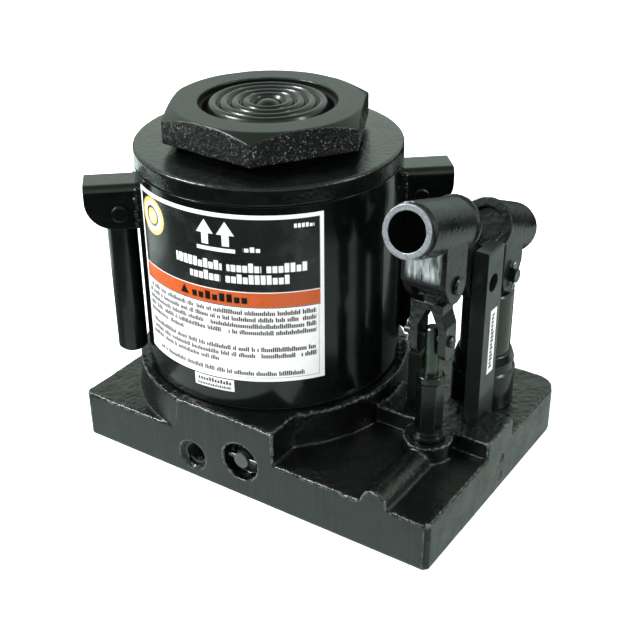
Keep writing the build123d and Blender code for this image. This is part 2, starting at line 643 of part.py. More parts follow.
FRONT_CROSS_Z = FRONT_PIN_Z - FORK_LINK
FRONT_ROD_FLOOR = FRONT_BORE_FLOOR + FRONT_ROD_LIFT
with BuildPart() as front_piston:
    with Locations((PUMP_X, FRONT_PUMP_Y, FRONT_ROD_FLOOR)):
        Cylinder(
            FRONT_ROD_R,
            FRONT_CROSS_Z + FRONT_ROD_OVER - FRONT_ROD_FLOOR,
            align=UPWARD,
        )
    chamfer(front_piston.edges().filter_by(GeomType.CIRCLE), ROD_CHAMFER)
    with Locations((PUMP_X, FRONT_PUMP_Y, FRONT_CROSS_Z)):
        Cylinder(CROSS_PIN_R, 6 * FRONT_ROD_R, rotation=(0, 90, 0), mode=Mode.SUBTRACT)
save(front_piston.part, "front_piston")


# ================================ levers and yokes =============================================
def lever_form(pump_y, pin_z, side, socket, arm_x):
    """Handle socket with a cheeked yoke under it and an arm to the fulcrum pin."""
    rise, height, nose, tail = socket
    mouthward = Vector(0, side * cos(radians(rise)), sin(radians(rise)))
    over_pin = Vector(PUMP_X, pump_y, pin_z + height)
    tail_end = over_pin - mouthward * tail
    slope = side * tan(radians(rise))
    web_y = pump_y + side * (WEB_REACH - 1.0)
    back_y = pump_y - side * (CHEEK_R - 1.0)
    with BuildPart() as form:
        with BuildSketch(Plane.YZ.offset(PUMP_X)):
            with Locations((pump_y, pin_z)):
                Circle(CHEEK_R)
            with Locations(
                (web_y, pin_z + WEB_DROP),
                (web_y, over_pin.Z + (web_y - pump_y) * slope),
                (back_y, over_pin.Z + (back_y - pump_y) * slope),
            ):
                Circle(1.0)
            make_hull()
        extrude(amount=YOKE_W / 2, both=True)
        with BuildSketch(Plane.YZ.offset(PUMP_X)):
            with Locations((pump_y + side * (WEB_REACH - WEB_T - 2 * YOKE_W), pin_z)):
                Rectangle(4 * YOKE_W, 4 * YOKE_W)
        extrude(amount=YOKE_W / 2 - CHEEK_T, both=True, mode=Mode.SUBTRACT)
        with BuildSketch(Plane.YZ.offset(arm_x)):
            with Locations((FULCRUM_Y, FULCRUM_Z)):
                Circle(KNUCKLE_R)
            with Locations((tail_end.Y + side * ARM_FOOT_R, tail_end.Z - ARM_FOOT_R)):
                Circle(ARM_FOOT_R)
            make_hull()
        extrude(amount=ARM_W)
        with BuildSketch(Plane(origin=tail_end, x_dir=(1, 0, 0), z_dir=mouthward)):
            Circle(SOCKET_R)
        extrude(amount=tail + nose - SOCKET_RING_L)
        with BuildSketch(Plane(origin=tail_end, x_dir=(1, 0, 0), z_dir=mouthward)):
            Circle(SOCKET_RING_R)
        extrude(amount=tail + nose)
        with BuildSketch(Plane(origin=tail_end, x_dir=(1, 0, 0), z_dir=mouthward)):
            Circle(SOCKET_R + SOCKET_LIP)
        extrude(amount=SOCKET_LIP_L)
        with BuildSketch(Plane(origin=tail_end - mouthward * SOCKET_R, x_dir=(1, 0, 0), z_dir=mouthward)):
            Circle(SOCKET_BORE_R)
        extrude(amount=SOCKET_R + tail + nose, mode=Mode.SUBTRACT)
        with BuildSketch(Plane(origin=tail_end + mouthward * SOCKET_STOP, x_dir=(1, 0, 0), z_dir=mouthward)):
            Circle(SOCKET_BORE_R + SOCKET_LIP)
        extrude(amount=-SOCKET_STOP_T)
        with Locations((PUMP_X, pump_y, pin_z)):
            Cylinder(LINK_PIN_R, 2 * YOKE_W, rotation=(0, 90, 0), mode=Mode.SUBTRACT)
        with Locations((PUMP_X, FULCRUM_Y, FULCRUM_Z)):
            Cylinder(FULCRUM_R + RUN, 2 * YOKE_W, rotation=(0, 90, 0), mode=Mode.SUBTRACT)
    return form.part


def slot_place(reach, tilt, travel, side):
    """Middle and half length of the path the lever pin takes across the piston axis."""
    arm = reach / cos(radians(tilt))
    angles = [tilt + side * turn for turn in travel]
    reaches = [arm * cos(radians(angle)) for angle in angles] + [reach]
    if min(angles) < 0 < max(angles):
        reaches.append(arm)
    middle = (min(reaches) + max(reaches)) / 2
    return FULCRUM_Y + side * middle, (max(reaches) - min(reaches)) / 2 + SLOT_END_PLAY


def fork_form(pump_y, pin_z, slot):
    """Two legs astride the piston top, a stem, and a slotted eye for the lever pin."""
    slot_y, slot_half = slot
    cross_z = pin_z - FORK_LINK
    shoulder_z = pin_z - FORK_SHOULDER
    with BuildPart() as form:
        with BuildSketch(Plane.XZ.offset(-pump_y)):
            with BuildLine():
                Polyline(
                    (PUMP_X - FORK_W / 2, cross_z - FORK_TAIL),
                    (PUMP_X - FORK_W / 2, shoulder_z),
                    (PUMP_X + FORK_W / 2 - 3.0, shoulder_z),
                    (PUMP_X + FORK_W / 2 - 3.0, shoulder_z - 6.0),
                    (PUMP_X + FORK_W / 2, shoulder_z - 15.0),
                    (PUMP_X + FORK_W / 2, cross_z - FORK_TAIL),
                    close=True,
                )
            make_face()
            with BuildLine():
                Polyline(
                    (PUMP_X - FORK_W / 2 + FORK_LEG, cross_z - FORK_TAIL - 1.0),
                    (PUMP_X - FORK_W / 2 + FORK_LEG, cross_z + 9.0),
                    (PUMP_X - 1.5, cross_z + 21.0),
                    (PUMP_X + 1.5, cross_z + 21.0),
                    (PUMP_X + FORK_W / 2 - FORK_LEG, cross_z + 9.0),
                    (PUMP_X + FORK_W / 2 - FORK_LEG, cross_z - FORK_TAIL - 1.0),
                    close=True,
                )
            make_face(mode=Mode.SUBTRACT)
        extrude(amount=FORK_D / 2, both=True)
        fillet(form.edges().filter_by(Axis.X).group_by(Axis.Z)[0], FORK_D / 2 - 0.6)
        with BuildSketch(Plane.XY.offset(shoulder_z - 2.0)):
            with Locations((PUMP_X, pump_y)):
                RectangleRounded(STEM_W, FORK_D - 2.0, 3.0)
        extrude(amount=FORK_SHOULDER)
        with BuildSketch(Plane.YZ.offset(PUMP_X)):
            with Locations((slot_y, pin_z)):
                SlotCenterToCenter(2 * slot_half, 2 * EYE_R)
        extrude(amount=EYE_W / 2, both=True)
        with BuildSketch(Plane.YZ.offset(PUMP_X)):
            with Locations((slot_y, pin_z)):
                SlotCenterToCenter(2 * slot_half, 2 * (LINK_PIN_R + SLOT_PLAY))
        extrude(amount=FORK_W, both=True, mode=Mode.SUBTRACT)
        with Locations((PUMP_X, pump_y, cross_z)):
            Cylinder(CROSS_PIN_R, 2 * FORK_W, rotation=(0, 90, 0), mode=Mode.SUBTRACT)
    return form.part


def pin_form(pump_y, pin_z, radius, head_x, tip_x):
    """Plain cross pin along X with a turned head at one end and a cotter hole at the other."""
    hand = 1 if head_x > tip_x else -1
    cotter_x = tip_x + hand * COTTER_SET
    with BuildPart() as form:
        with BuildSketch(Plane.YZ.offset(tip_x)):
            with Locations((pump_y, pin_z)):
                Circle(radius)
        extrude(amount=head_x - tip_x)
        with BuildSketch(Plane.YZ.offset(head_x)):
            with Locations((pump_y, pin_z)):
                Circle(radius + PIN_HEAD_RIM)
        extrude(amount=hand * PIN_HEAD_T)
        chamfer(form.edges().filter_by(GeomType.CIRCLE).sort_by(Axis.X)[-1 if hand > 0 else 0], 1.0)
        with Locations((cotter_x, pump_y, pin_z)):
            Cylinder(COTTER_R, 6 * radius, mode=Mode.SUBTRACT)
    return form.part


def cotter_form(pump_y, pin_z, radius, head_x, tip_x):
    """Split pin: a shank through the cross pin, its loop above and two spread ends below."""
    hand = 1 if head_x > tip_x else -1
    cotter_x = tip_x + hand * COTTER_SET
    with BuildPart() as form:
        with Locations((cotter_x, pump_y, pin_z)):
            Cylinder(COTTER_R, 2 * radius + 4 * COTTER_R)
        with Locations((cotter_x, pump_y, pin_z + radius + COTTER_R + COTTER_LOOP)):
            Torus(COTTER_LOOP, COTTER_R, rotation=(0, 90, 0))
        for lean in (COTTER_SPREAD, -COTTER_SPREAD):
            with Locations(Location((cotter_x, pump_y, pin_z - radius - COTTER_R), (lean, 0, 0))):
                Cylinder(0.8 * COTTER_R, COTTER_TAIL, align=DOWNWARD)
    return form.part


FRONT_SLOT = slot_place(FRONT_REACH, FRONT_ARM_TILT, FRONT_TRAVEL, -1)
REAR_SLOT = slot_place(REAR_REACH, REAR_ARM_TILT, REAR_TRAVEL, 1)
FRONT_LINK = (FRONT_PUMP_Y, FRONT_PIN_Z, LINK_PIN_R, PUMP_X + YOKE_W / 2, PUMP_X - LINK_REACH)
REAR_LINK = (REAR_PUMP_Y, REAR_PIN_Z, LINK_PIN_R, PUMP_X - YOKE_W / 2, PUMP_X + LINK_REACH)
FRONT_CROSS = (FRONT_PUMP_Y, FRONT_CROSS_Z, CROSS_PIN_R, PUMP_X + FORK_W / 2, PUMP_X - CROSS_REACH)

save(lever_form(FRONT_PUMP_Y, FRONT_PIN_Z, -1, FRONT_SOCKET, FRONT_ARM_X), "front_socket")
save(lever_form(REAR_PUMP_Y, REAR_PIN_Z, 1, REAR_SOCKET, REAR_ARM_X), "rear_socket")
save(fork_form(FRONT_PUMP_Y, FRONT_PIN_Z, FRONT_SLOT), "front_fork")
for name, pin in (("front_link", FRONT_LINK), ("rear_link", REAR_LINK), ("front_cross", FRONT_CROSS)):
    save(pin_form(*pin), name + "_pin")
    save(cotter_form(*pin), name + "_cotter")

# thick rear piston: a plain cylinder up to the lever cheeks, then a neck with the slotted eye
REAR_ROD_FLOOR = REAR_BORE_FLOOR + REAR_ROD_LIFT
REAR_ROD_TOP = REAR_PIN_Z - CHEEK_R - REAR_EYE_GAP
with BuildPart() as rear_piston:
    with Locations((PUMP_X, REAR_PUMP_Y, REAR_ROD_FLOOR)):
        Cylinder(REAR_ROD_R, REAR_ROD_TOP - REAR_ROD_FLOOR, align=UPWARD)
    chamfer(rear_piston.edges().filter_by(GeomType.CIRCLE), ROD_CHAMFER)
    with BuildSketch(Plane.XY.offset(REAR_ROD_TOP - ROD_CHAMFER)):
        with Locations((PUMP_X, REAR_PUMP_Y)):
            RectangleRounded(STEM_W, FORK_D - 2.0, 3.0)
    extrude(amount=REAR_PIN_Z - REAR_ROD_TOP)
    with BuildSketch(Plane.YZ.offset(PUMP_X)):
        with Locations((REAR_SLOT[0], REAR_PIN_Z)):
            SlotCenterToCenter(2 * REAR_SLOT[1], 2 * EYE_R)
    extrude(amount=EYE_W / 2, both=True)
    with BuildSketch(Plane.YZ.offset(PUMP_X)):
        with Locations((REAR_SLOT[0], REAR_PIN_Z)):
            SlotCenterToCenter(2 * REAR_SLOT[1], 2 * (LINK_PIN_R + SLOT_PLAY))
    extrude(amount=FORK_W, both=True, mode=Mode.SUBTRACT)
save(rear_piston.part, "rear_piston")

with BuildPart() as stop_post:
    with Locations((PUMP_X - STOP_BACK, STOP_Y, PLATFORM_T - STOP_FOOT)):
        Box(STOP_W, STOP_W, STOP_TOP - PLATFORM_T + STOP_FOOT, align=UPWARD)
    chamfer(stop_post.edges().group_by(Axis.Z)[-1], POST_BEVEL)
save(stop_post.part, "stop_post")

with BuildPart() as fulcrum_post:
    with Locations((POST_X, POST_FRONT + POST_D / 2, PLATFORM_T - POST_FOOT)):
        Box(
            POST_W, POST_D, POST_TOP - PLATFORM_T + POST_FOOT, align=UPWARD
        )
    chamfer(fulcrum_post.edges().group_by(Axis.Z)[-1], POST_BEVEL)
    with Locations((POST_X, FULCRUM_Y, FULCRUM_Z)):
        Cylinder(FULCRUM_R, 2 * POST_W, rotation=(0, 90, 0), mode=Mode.SUBTRACT)
save(fulcrum_post.part, "fulcrum_post")

FULCRUM_TIP = REAR_ARM_X - FULCRUM_REACH
with BuildPart() as fulcrum_pin:
    with BuildSketch(Plane.YZ.offset(FULCRUM_TIP)):
        with Locations((FULCRUM_Y, FULCRUM_Z)):
            Circle(FULCRUM_R)
    extrude(amount=POST_X + POST_W / 2 - FULCRUM_SET - FULCRUM_TIP)
    chamfer(fulcrum_pin.edges().filter_by(GeomType.CIRCLE), POST_BEVEL)
    with BuildSketch(Plane.YZ.offset(REAR_ARM_X - GAP)):
        with Locations((FULCRUM_Y, FULCRUM_Z)):
            Circle(2 * FULCRUM_R)
            Circle(FULCRUM_R - CLIP_BITE, mode=Mode.SUBTRACT)
    extrude(amount=-CLIP_T, mode=Mode.SUBTRACT)
save(fulcrum_pin.part, "fulcrum_pin")

with BuildPart() as fulcrum_clip:
    with BuildSketch(Plane.YZ.offset(REAR_ARM_X - GAP)):
        with Locations((FULCRUM_Y, FULCRUM_Z)):
            Circle(FULCRUM_R + CLIP_RIM)
            Circle(FULCRUM_R - CLIP_BITE, mode=Mode.SUBTRACT)
        with Locations((FULCRUM_Y, FULCRUM_Z)):
            Rectangle(CLIP_MOUTH, 4 * FULCRUM_R, align=(Align.CENTER, Align.MAX), mode=Mode.SUBTRACT)
    extrude(amount=-CLIP_T)
save(fulcrum_clip.part, "fulcrum_clip")

# ================================ release valve ================================================
VALVE_SHOULDER = VALVE_RECESS + 1.0
VALVE_END = VALVE_DEPTH - 2.0 * VALVE_BALL_R
with BuildPart() as release_spindle:
    with BuildSketch(Plane.XZ.offset(BASE_FRONT - VALVE_SET)):
        with Locations((VALVE_X, VALVE_Z)):
            Circle(VALVE_STEM_R)
    extrude(amount=-(VALVE_END - VALVE_SET))
    with BuildSketch(Plane.XZ.offset(BASE_FRONT - VALVE_SHOULDER)):
        with Locations((VALVE_X, VALVE_Z)):
            Circle(VALVE_BORE_R - RUN)
    extrude(amount=-(VALVE_END - VALVE_SHOULDER - VALVE_BALL_R))
    with Locations((VALVE_X, VALVE_PIN_SET - BASE_FRONT, VALVE_Z)):
        Cylinder(VALVE_PIN_R, 6 * VALVE_STEM_R, rotation=(0, 90, 0), mode=Mode.SUBTRACT)
save(release_spindle.part, "release_spindle")

with BuildPart() as spindle_pin:
    with Locations((VALVE_X, VALVE_PIN_SET - BASE_FRONT, VALVE_Z)):
        Cylinder(VALVE_PIN_R, 2 * (VALVE_RECESS_R - VALVE_PIN_R), rotation=(0, 90, 0))
save(spindle_pin.part, "spindle_pin")

with BuildPart() as release_ball:
    with Locations((VALVE_X, -(BASE_FRONT - VALVE_DEPTH + VALVE_BALL_R), VALVE_Z)):
        Sphere(VALVE_BALL_R)
save(release_ball.part, "release_ball")


# ================================ labels =======================================================
def wrap_label(low, tall, span, turn):
    """Thin sheet that follows the tube."""
    with BuildPart() as form:
        with BuildSketch(Plane.XY.offset(low)):
            Circle(TUBE_R + LABEL_T)
            Circle(TUBE_R, mode=Mode.SUBTRACT)
        extrude(amount=tall)
        with BuildSketch(Plane.XY.offset(low)):
            with BuildLine():
                Polyline(
                    (0, 0),
                    (2 * TUBE_R * cos(radians(turn - span / 2)), 2 * TUBE_R * sin(radians(turn - span / 2))),
                    (2 * TUBE_R * cos(radians(turn)), 2 * TUBE_R * sin(radians(turn))),
                    (2 * TUBE_R * cos(radians(turn + span / 2)), 2 * TUBE_R * sin(radians(turn + span / 2))),
                    close=True,
                )
            make_face()
        extrude(amount=tall, mode=Mode.INTERSECT)
    return form.part


save(wrap_label(LABEL_LOW, LABEL_H, LABEL_SPAN, LABEL_TURN), "tube_label")
save(wrap_label(STICKER_LOW, STICKER_H, STICKER_SPAN, STICKER_TURN), "small_label")

with BuildPart() as post_label:
    with BuildSketch(Plane.YZ.offset(POST_X + POST_W / 2)):
        with Locations((POST_FRONT + STRIP_Y, STRIP_Z)):
            Rectangle(STRIP_W, STRIP_H)
    extrude(amount=LABEL_T)
save(post_label.part, "post_label")
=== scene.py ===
"""Looks of the two-pump bottle jack: paint, castings, welds, print and a plain pale studio."""

import json
import math
import random

import bmesh
import bpy
from mathutils import Matrix, Vector, noise

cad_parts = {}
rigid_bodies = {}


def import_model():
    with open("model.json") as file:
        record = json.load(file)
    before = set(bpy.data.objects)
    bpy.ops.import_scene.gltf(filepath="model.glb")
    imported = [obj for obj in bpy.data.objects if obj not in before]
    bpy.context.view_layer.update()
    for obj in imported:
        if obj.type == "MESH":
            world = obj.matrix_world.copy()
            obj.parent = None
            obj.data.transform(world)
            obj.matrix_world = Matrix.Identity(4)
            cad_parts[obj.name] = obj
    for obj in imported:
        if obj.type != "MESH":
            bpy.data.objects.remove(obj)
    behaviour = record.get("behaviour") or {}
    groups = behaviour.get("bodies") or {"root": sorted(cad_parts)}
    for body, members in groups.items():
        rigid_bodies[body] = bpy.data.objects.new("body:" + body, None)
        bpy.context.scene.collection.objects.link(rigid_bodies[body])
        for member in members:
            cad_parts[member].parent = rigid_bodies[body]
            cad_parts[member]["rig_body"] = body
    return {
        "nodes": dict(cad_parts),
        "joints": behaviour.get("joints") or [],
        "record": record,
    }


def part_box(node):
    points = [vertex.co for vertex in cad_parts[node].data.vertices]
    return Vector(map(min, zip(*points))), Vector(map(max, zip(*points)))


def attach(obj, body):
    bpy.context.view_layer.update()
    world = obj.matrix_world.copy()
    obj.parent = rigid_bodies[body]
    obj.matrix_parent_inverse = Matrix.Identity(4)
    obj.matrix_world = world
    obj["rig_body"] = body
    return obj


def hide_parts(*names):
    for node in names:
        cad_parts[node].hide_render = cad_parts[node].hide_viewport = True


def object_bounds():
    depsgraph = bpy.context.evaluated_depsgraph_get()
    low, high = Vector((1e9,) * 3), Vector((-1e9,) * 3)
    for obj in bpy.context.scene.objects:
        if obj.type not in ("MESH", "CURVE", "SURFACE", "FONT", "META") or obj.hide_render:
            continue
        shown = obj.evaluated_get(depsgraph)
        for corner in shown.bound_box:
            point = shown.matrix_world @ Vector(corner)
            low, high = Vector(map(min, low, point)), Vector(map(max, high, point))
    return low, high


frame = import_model()
cad_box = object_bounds()
nodes = frame["nodes"]
mounts = {m["name"]: m for m in frame["record"]["mounts"]}
joints = {j["name"]: j for j in frame["joints"]}
MM = 0.001

# ---- places read from the frame ---------------------------------------------------------------
base_low, base_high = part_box("base")
tube_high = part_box("reservoir_tube")[1]
tube_r = tube_high.x
cover_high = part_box("cover_plate")[1]
head_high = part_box("ram_head")[1]


# =============================== node graphs ===================================================
class Graph:
    """A material's node tree, built from short calls. Coordinates are the piece's own, at rest."""

    def __init__(self, name):
        self.material = bpy.data.materials.new(name)
        self.material.use_nodes = True
        self.tree = self.material.node_tree
        self.tree.nodes.clear()
        self.output = self.tree.nodes.new("ShaderNodeOutputMaterial")
        coordinates = self.tree.nodes.new("ShaderNodeTexCoord")
        self.place = coordinates.outputs["Object"]
        self.facing = coordinates.outputs["Normal"]

    def put(self, socket, value):
        if isinstance(value, bpy.types.NodeSocket):
            self.tree.links.new(value, socket)
        elif socket.type == "RGBA":
            socket.default_value = (*value, 1.0) if len(value) == 3 else value
        else:
            socket.default_value = value

    def node(self, kind, settings=None, **inputs):
        made = self.tree.nodes.new("ShaderNode" + kind)
        for key, value in (settings or {}).items():
            setattr(made, key, value)
        for key, value in inputs.items():
            self.put(made.inputs[key.replace("_", " ")], value)
        return made

    def math(self, operation, a, b=0.0, clamp=False):
        made = self.tree.nodes.new("ShaderNodeMath")
        made.operation, made.use_clamp = operation, clamp
        self.put(made.inputs[0], a)
        self.put(made.inputs[1], b)
        return made.outputs[0]

    def noise(self, scale, detail=3.0, rough=0.5, place=None):
        made = self.node("TexNoise", None, Scale=scale, Detail=detail, Roughness=rough)
        self.put(made.inputs["Vector"], place or self.place)
        return made.outputs["Fac"]

    def stretch(self, x, y, z):
        made = self.node("Mapping", None, Scale=(x, y, z))
        self.put(made.inputs["Vector"], self.place)
        return made.outputs["Vector"]

    def remap(self, value, low, high, to_low=0.0, to_high=1.0):
        made = self.tree.nodes.new("ShaderNodeMapRange")
        for i, item in enumerate((value, low, high, to_low, to_high)):
            self.put(made.inputs[i], item)
        return made.outputs[0]

    def mix(self, share, a, b):
        made = self.node("Mix", {"data_type": "RGBA"})
        self.put(made.inputs[0], share)
        self.put(made.inputs[6], a)
        self.put(made.inputs[7], b)
        return made.outputs[2]

    def blend(self, share, a, b):
        made = self.node("Mix", {"data_type": "FLOAT"})
        self.put(made.inputs[0], share)
        self.put(made.inputs[2], a)
        self.put(made.inputs[3], b)
        return made.outputs[0]

    def axes(self, vector=None):
        made = self.node("SeparateXYZ", None, Vector=vector or self.place)
        return made.outputs[0], made.outputs[1], made.outputs[2]

    def bump(self, height, distance, strength=1.0, normal=None):
        made = self.node("Bump", None, Strength=strength, Distance=distance, Height=height)
        if normal:
            self.put(made.inputs["Normal"], normal)
        return made.outputs[0]

    def soft_edge(self, radius):
        return self.node("Bevel", {"samples": 4}, Radius=radius).outputs[0]

    def dot(self, vector, other):
        made = self.node("VectorMath", {"operation": "DOT_PRODUCT"})
        self.put(made.inputs[0], vector)
        self.put(made.inputs[1], other)
        return made.outputs["Value"]

    def bend(self, edge_normal):
        """1 on flat stretches and less where a softened edge turns away from the true surface."""
        return self.dot(edge_normal, self.node("NewGeometry").outputs["Normal"])

    def finish(self, colour, rough, metal=0.0, normal=None, coat=0.0, coat_rough=0.1, specular=0.5):
        made = self.node("BsdfPrincipled", None, Roughness=rough, Metallic=metal)
        self.put(made.inputs["Base Color"], colour)
        self.put(made.inputs["Coat Weight"], coat)
        self.put(made.inputs["Coat Roughness"], coat_rough)
        self.put(made.inputs["Specular IOR Level"], specular)
        if normal:
            self.put(made.inputs["Normal"], normal)
            self.put(made.inputs["Coat Normal"], normal)
        self.tree.links.new(made.outputs[0], self.output.inputs["Surface"])
        return self.material


# =============================== materials =====================================================
BLACK = (0.0026, 0.0037, 0.0034)
# pale grey of the enamel's edges: rubbed wear and painted highlight
WORN_AND_HIGHLIT_EDGE = (0.075, 0.084, 0.078)


def enamel(
    name, gloss=0.2, peel=0.00003, grain=0.0, grain_scale=900.0, wear_and_edge_highlight=0.25, colour=BLACK, dusty=0.0
):
    """Black enamel with orange peel, faint dust in patches, and paler edges that are part rubbed wear and
    part painted highlight.
    """
    g = Graph(name)
    patches = g.noise(28.0, 5.0, 0.6)
    fine = g.noise(240.0, 4.0, 0.6)
    edge_normal = g.soft_edge(0.0007)
    edges = g.remap(g.bend(edge_normal), 0.985, 0.90)
    dust_and_sheen = g.math("MULTIPLY", g.remap(g.noise(75.0, 6.0, 0.7), 0.45, 0.75), dusty)
    # paler edges, part rubbed wear and part painted highlight: pale grey along softened edges in a broken
    # noise pattern
    rubbed_and_highlit_edges = g.math("MULTIPLY", edges, g.remap(fine, 0.35, 0.62), clamp=True)
    tone = g.mix(g.remap(patches, 0.35, 0.75), colour, tuple(2.1 * c for c in colour))
    tone = g.mix(dust_and_sheen, tone, (0.050, 0.058, 0.052))
    tone = g.mix(g.math("MULTIPLY", rubbed_and_highlit_edges, wear_and_edge_highlight), tone, WORN_AND_HIGHLIT_EDGE)
    rough = g.remap(g.noise(60.0, 6.0, 0.65), 0.3, 0.75, 0.75 * gloss, 1.5 * gloss)
    peeled = g.bump(g.noise(420.0, 2.0, 0.5), peel, normal=edge_normal)
    if grain:
        lumps = g.noise(grain_scale, 5.0, 0.6)
        peeled = g.bump(lumps, grain, normal=peeled)
    return g.finish(tone, rough, normal=peeled, coat=0.35, coat_rough=0.09)


def casting(name, lowest, highest):
    """Rough cast enamel on top, satin machined faces at the front and right with faint tool streaks;
    upward faces carry a painted sheen and convex edges a painted highlight.
    """
    g = Graph(name)
    x, y, _ = g.axes()
    nx, ny, nz = g.axes(g.facing)
    outer, inner = 0.0012, 0.0022    # the machined look fades out between these depths
    front = g.math("MULTIPLY", g.remap(ny, -0.90, -0.97), g.remap(y, lowest.y + inner, lowest.y + outer))
    right = g.math("MULTIPLY", g.remap(nx, 0.90, 0.97), g.remap(x, highest.x - inner, highest.x - outer))
    left = g.math("MULTIPLY", g.remap(nx, -0.90, -0.97), g.remap(x, lowest.x + inner, lowest.x + outer))
    flat = g.math("MAXIMUM", g.math("MAXIMUM", front, right), left)
    streak = g.noise(1.0, 4.0, 0.7, g.stretch(420.0, 420.0, 9.0))
    cloud = g.noise(18.0, 5.0, 0.6)
    dark = g.mix(g.remap(cloud, 0.35, 0.75), BLACK, (0.0045, 0.0055, 0.0045))
    # painted sheen: upward faces are lightened grey-green in noisy patches, standing in for the bright
    # room mirrored there
    dust_and_sheen = g.math("MULTIPLY", g.remap(nz, 0.6, 0.98), g.remap(g.noise(70.0, 6.0, 0.7), 0.48, 0.72))
    dark = g.mix(g.math("MULTIPLY", dust_and_sheen, 0.10), dark, (0.045, 0.052, 0.043))
    # painted edge highlight: convex edges, found by pointiness, turn pale grey in a broken noise pattern
    point = g.node("NewGeometry").outputs["Pointiness"]
    wear_and_edge_highlight = g.math("MULTIPLY", g.remap(point, 0.512, 0.535), g.remap(g.noise(320.0, 5.0, 0.7), 0.42, 0.58))
    satin = g.mix(g.remap(streak, 0.30, 0.75), (0.005, 0.007, 0.0065), (0.014, 0.019, 0.017))
    satin = g.mix(g.math("MULTIPLY", g.remap(cloud, 0.5, 0.8), 0.4), satin, (0.030, 0.034, 0.028))
    tone = g.mix(flat, dark, satin)
    tone = g.mix(g.math("MULTIPLY", wear_and_edge_highlight, 0.5), tone, (0.20, 0.23, 0.215))
    cast_rough = g.remap(g.noise(90.0, 6.0, 0.65), 0.3, 0.7, 0.10, 0.24)
    flat_rough = g.remap(g.noise(55.0, 6.0, 0.75), 0.3, 0.7, 0.24, 0.52)
    rough = g.blend(flat, cast_rough, flat_rough)
    pits = g.noise(520.0, 6.0, 0.68)
    skin = g.bump(pits, 0.00030, g.blend(flat, 1.0, 0.05))
    skin = g.bump(streak, 0.000012, g.blend(flat, 0.0, 1.0), skin)
    skin = g.bump(g.noise(240.0, 5.0, 0.7), 0.00006, g.blend(flat, 0.0, 1.0), skin)
    return g.finish(tone, rough, normal=skin, coat=0.25, coat_rough=0.12)


NUT_BEVEL_R = (0.050, 0.054)    # the nut's turned top ends and its scaly flats begin
NUT_SHADE_TOP = 0.0056    # over the cover, the painted shade on the nut's foot fades between these heights
NUT_SHADE_FOOT = 0.0050


def forged(name):
    """Nut: smooth turned top and bevel, scaly flats with painted glints, painted edge highlights and
    painted shade at its foot.
    """
    g = Graph(name)
    nz = g.axes(g.facing)[2]
    slope = g.remap(nz, 0.45, 0.2)
    scale = g.noise(480.0, 6.0, 0.75)
    cloud = g.noise(32.0, 5.0, 0.6)
    x, y, z = g.axes()
    radius = g.node("VectorMath", {"operation": "LENGTH"})
    g.put(radius.inputs[0], g.node("CombineXYZ", None, X=x, Y=y, Z=0.0).outputs[0])
    side = g.math("MULTIPLY", slope, g.remap(radius.outputs["Value"], *NUT_BEVEL_R))
    turned = g.node(
        "TexNoise", {"noise_dimensions": "1D"}, W=radius.outputs["Value"], Scale=1500.0, Detail=2.0
    )
    lathe = turned.outputs["Fac"]
    under = g.remap(z, cover_high.z + NUT_SHADE_TOP, cover_high.z + NUT_SHADE_FOOT)
    # painted glints: pale specks scattered on the flanks
    painted_glints = g.math("MULTIPLY", side, g.remap(g.noise(640.0, 4.0, 0.8), 0.60, 0.64))
    edge_normal = g.soft_edge(0.0009)
    edges = g.remap(g.bend(edge_normal), 0.985, 0.93)
    # painted edge highlight: pale broken lines along the nut's softened edges
    wear_and_edge_highlight = g.math("MULTIPLY", edges, g.remap(g.noise(420.0, 4.0), 0.36, 0.56))
    tone = g.mix(g.remap(cloud, 0.35, 0.7), (0.006, 0.008, 0.0065), (0.012, 0.015, 0.012))
    tone = g.mix(side, tone, BLACK)
    tone = g.mix(painted_glints, tone, (0.42, 0.46, 0.44))
    tone = g.mix(g.math("MULTIPLY", wear_and_edge_highlight, 0.7), tone, (0.22, 0.25, 0.24))
    # painted shade: the nut's foot just over the cover turns near black
    tone = g.mix(under, tone, (0.002, 0.002, 0.002))
    rough = g.blend(side, g.remap(lathe, 0.3, 0.7, 0.27, 0.36), g.remap(scale, 0.40, 0.62, 0.40, 0.10))
    skin = g.bump(lathe, 0.00002, g.math("SUBTRACT", 1.0, side), edge_normal)
    skin = g.bump(scale, 0.0012, side, skin)
    specular = g.blend(under, 0.55, 0.05)
    return g.finish(tone, g.blend(under, rough, 0.9), normal=skin, coat=0.0, specular=specular)


def bare_steel(name, tone, rough, brushed=(1.0, 1.0, 1.0), metal=1.0):
    """Ground or drawn steel with grain along one direction and small stains."""
    g = Graph(name)
    grain = g.noise(1.0, 5.0, 0.7, g.stretch(*[900.0 * b for b in brushed]))
    stain = g.noise(90.0, 5.0, 0.6)
    colour = g.mix(g.remap(stain, 0.4, 0.75), tone, tuple(0.55 * c for c in tone))
    skin = g.bump(grain, 0.00002, normal=g.soft_edge(0.0004))
    return g.finish(colour, g.remap(grain, 0.3, 0.7, 0.7 * rough, 1.3 * rough), metal, skin)


WEB_HALF_WIDTH = (0.0125, 0.0095)    # the painted reflection on the yoke fades between these half widths
WEB_FOOT = (0.041, 0.036)    # and between these depths under the mouth's middle


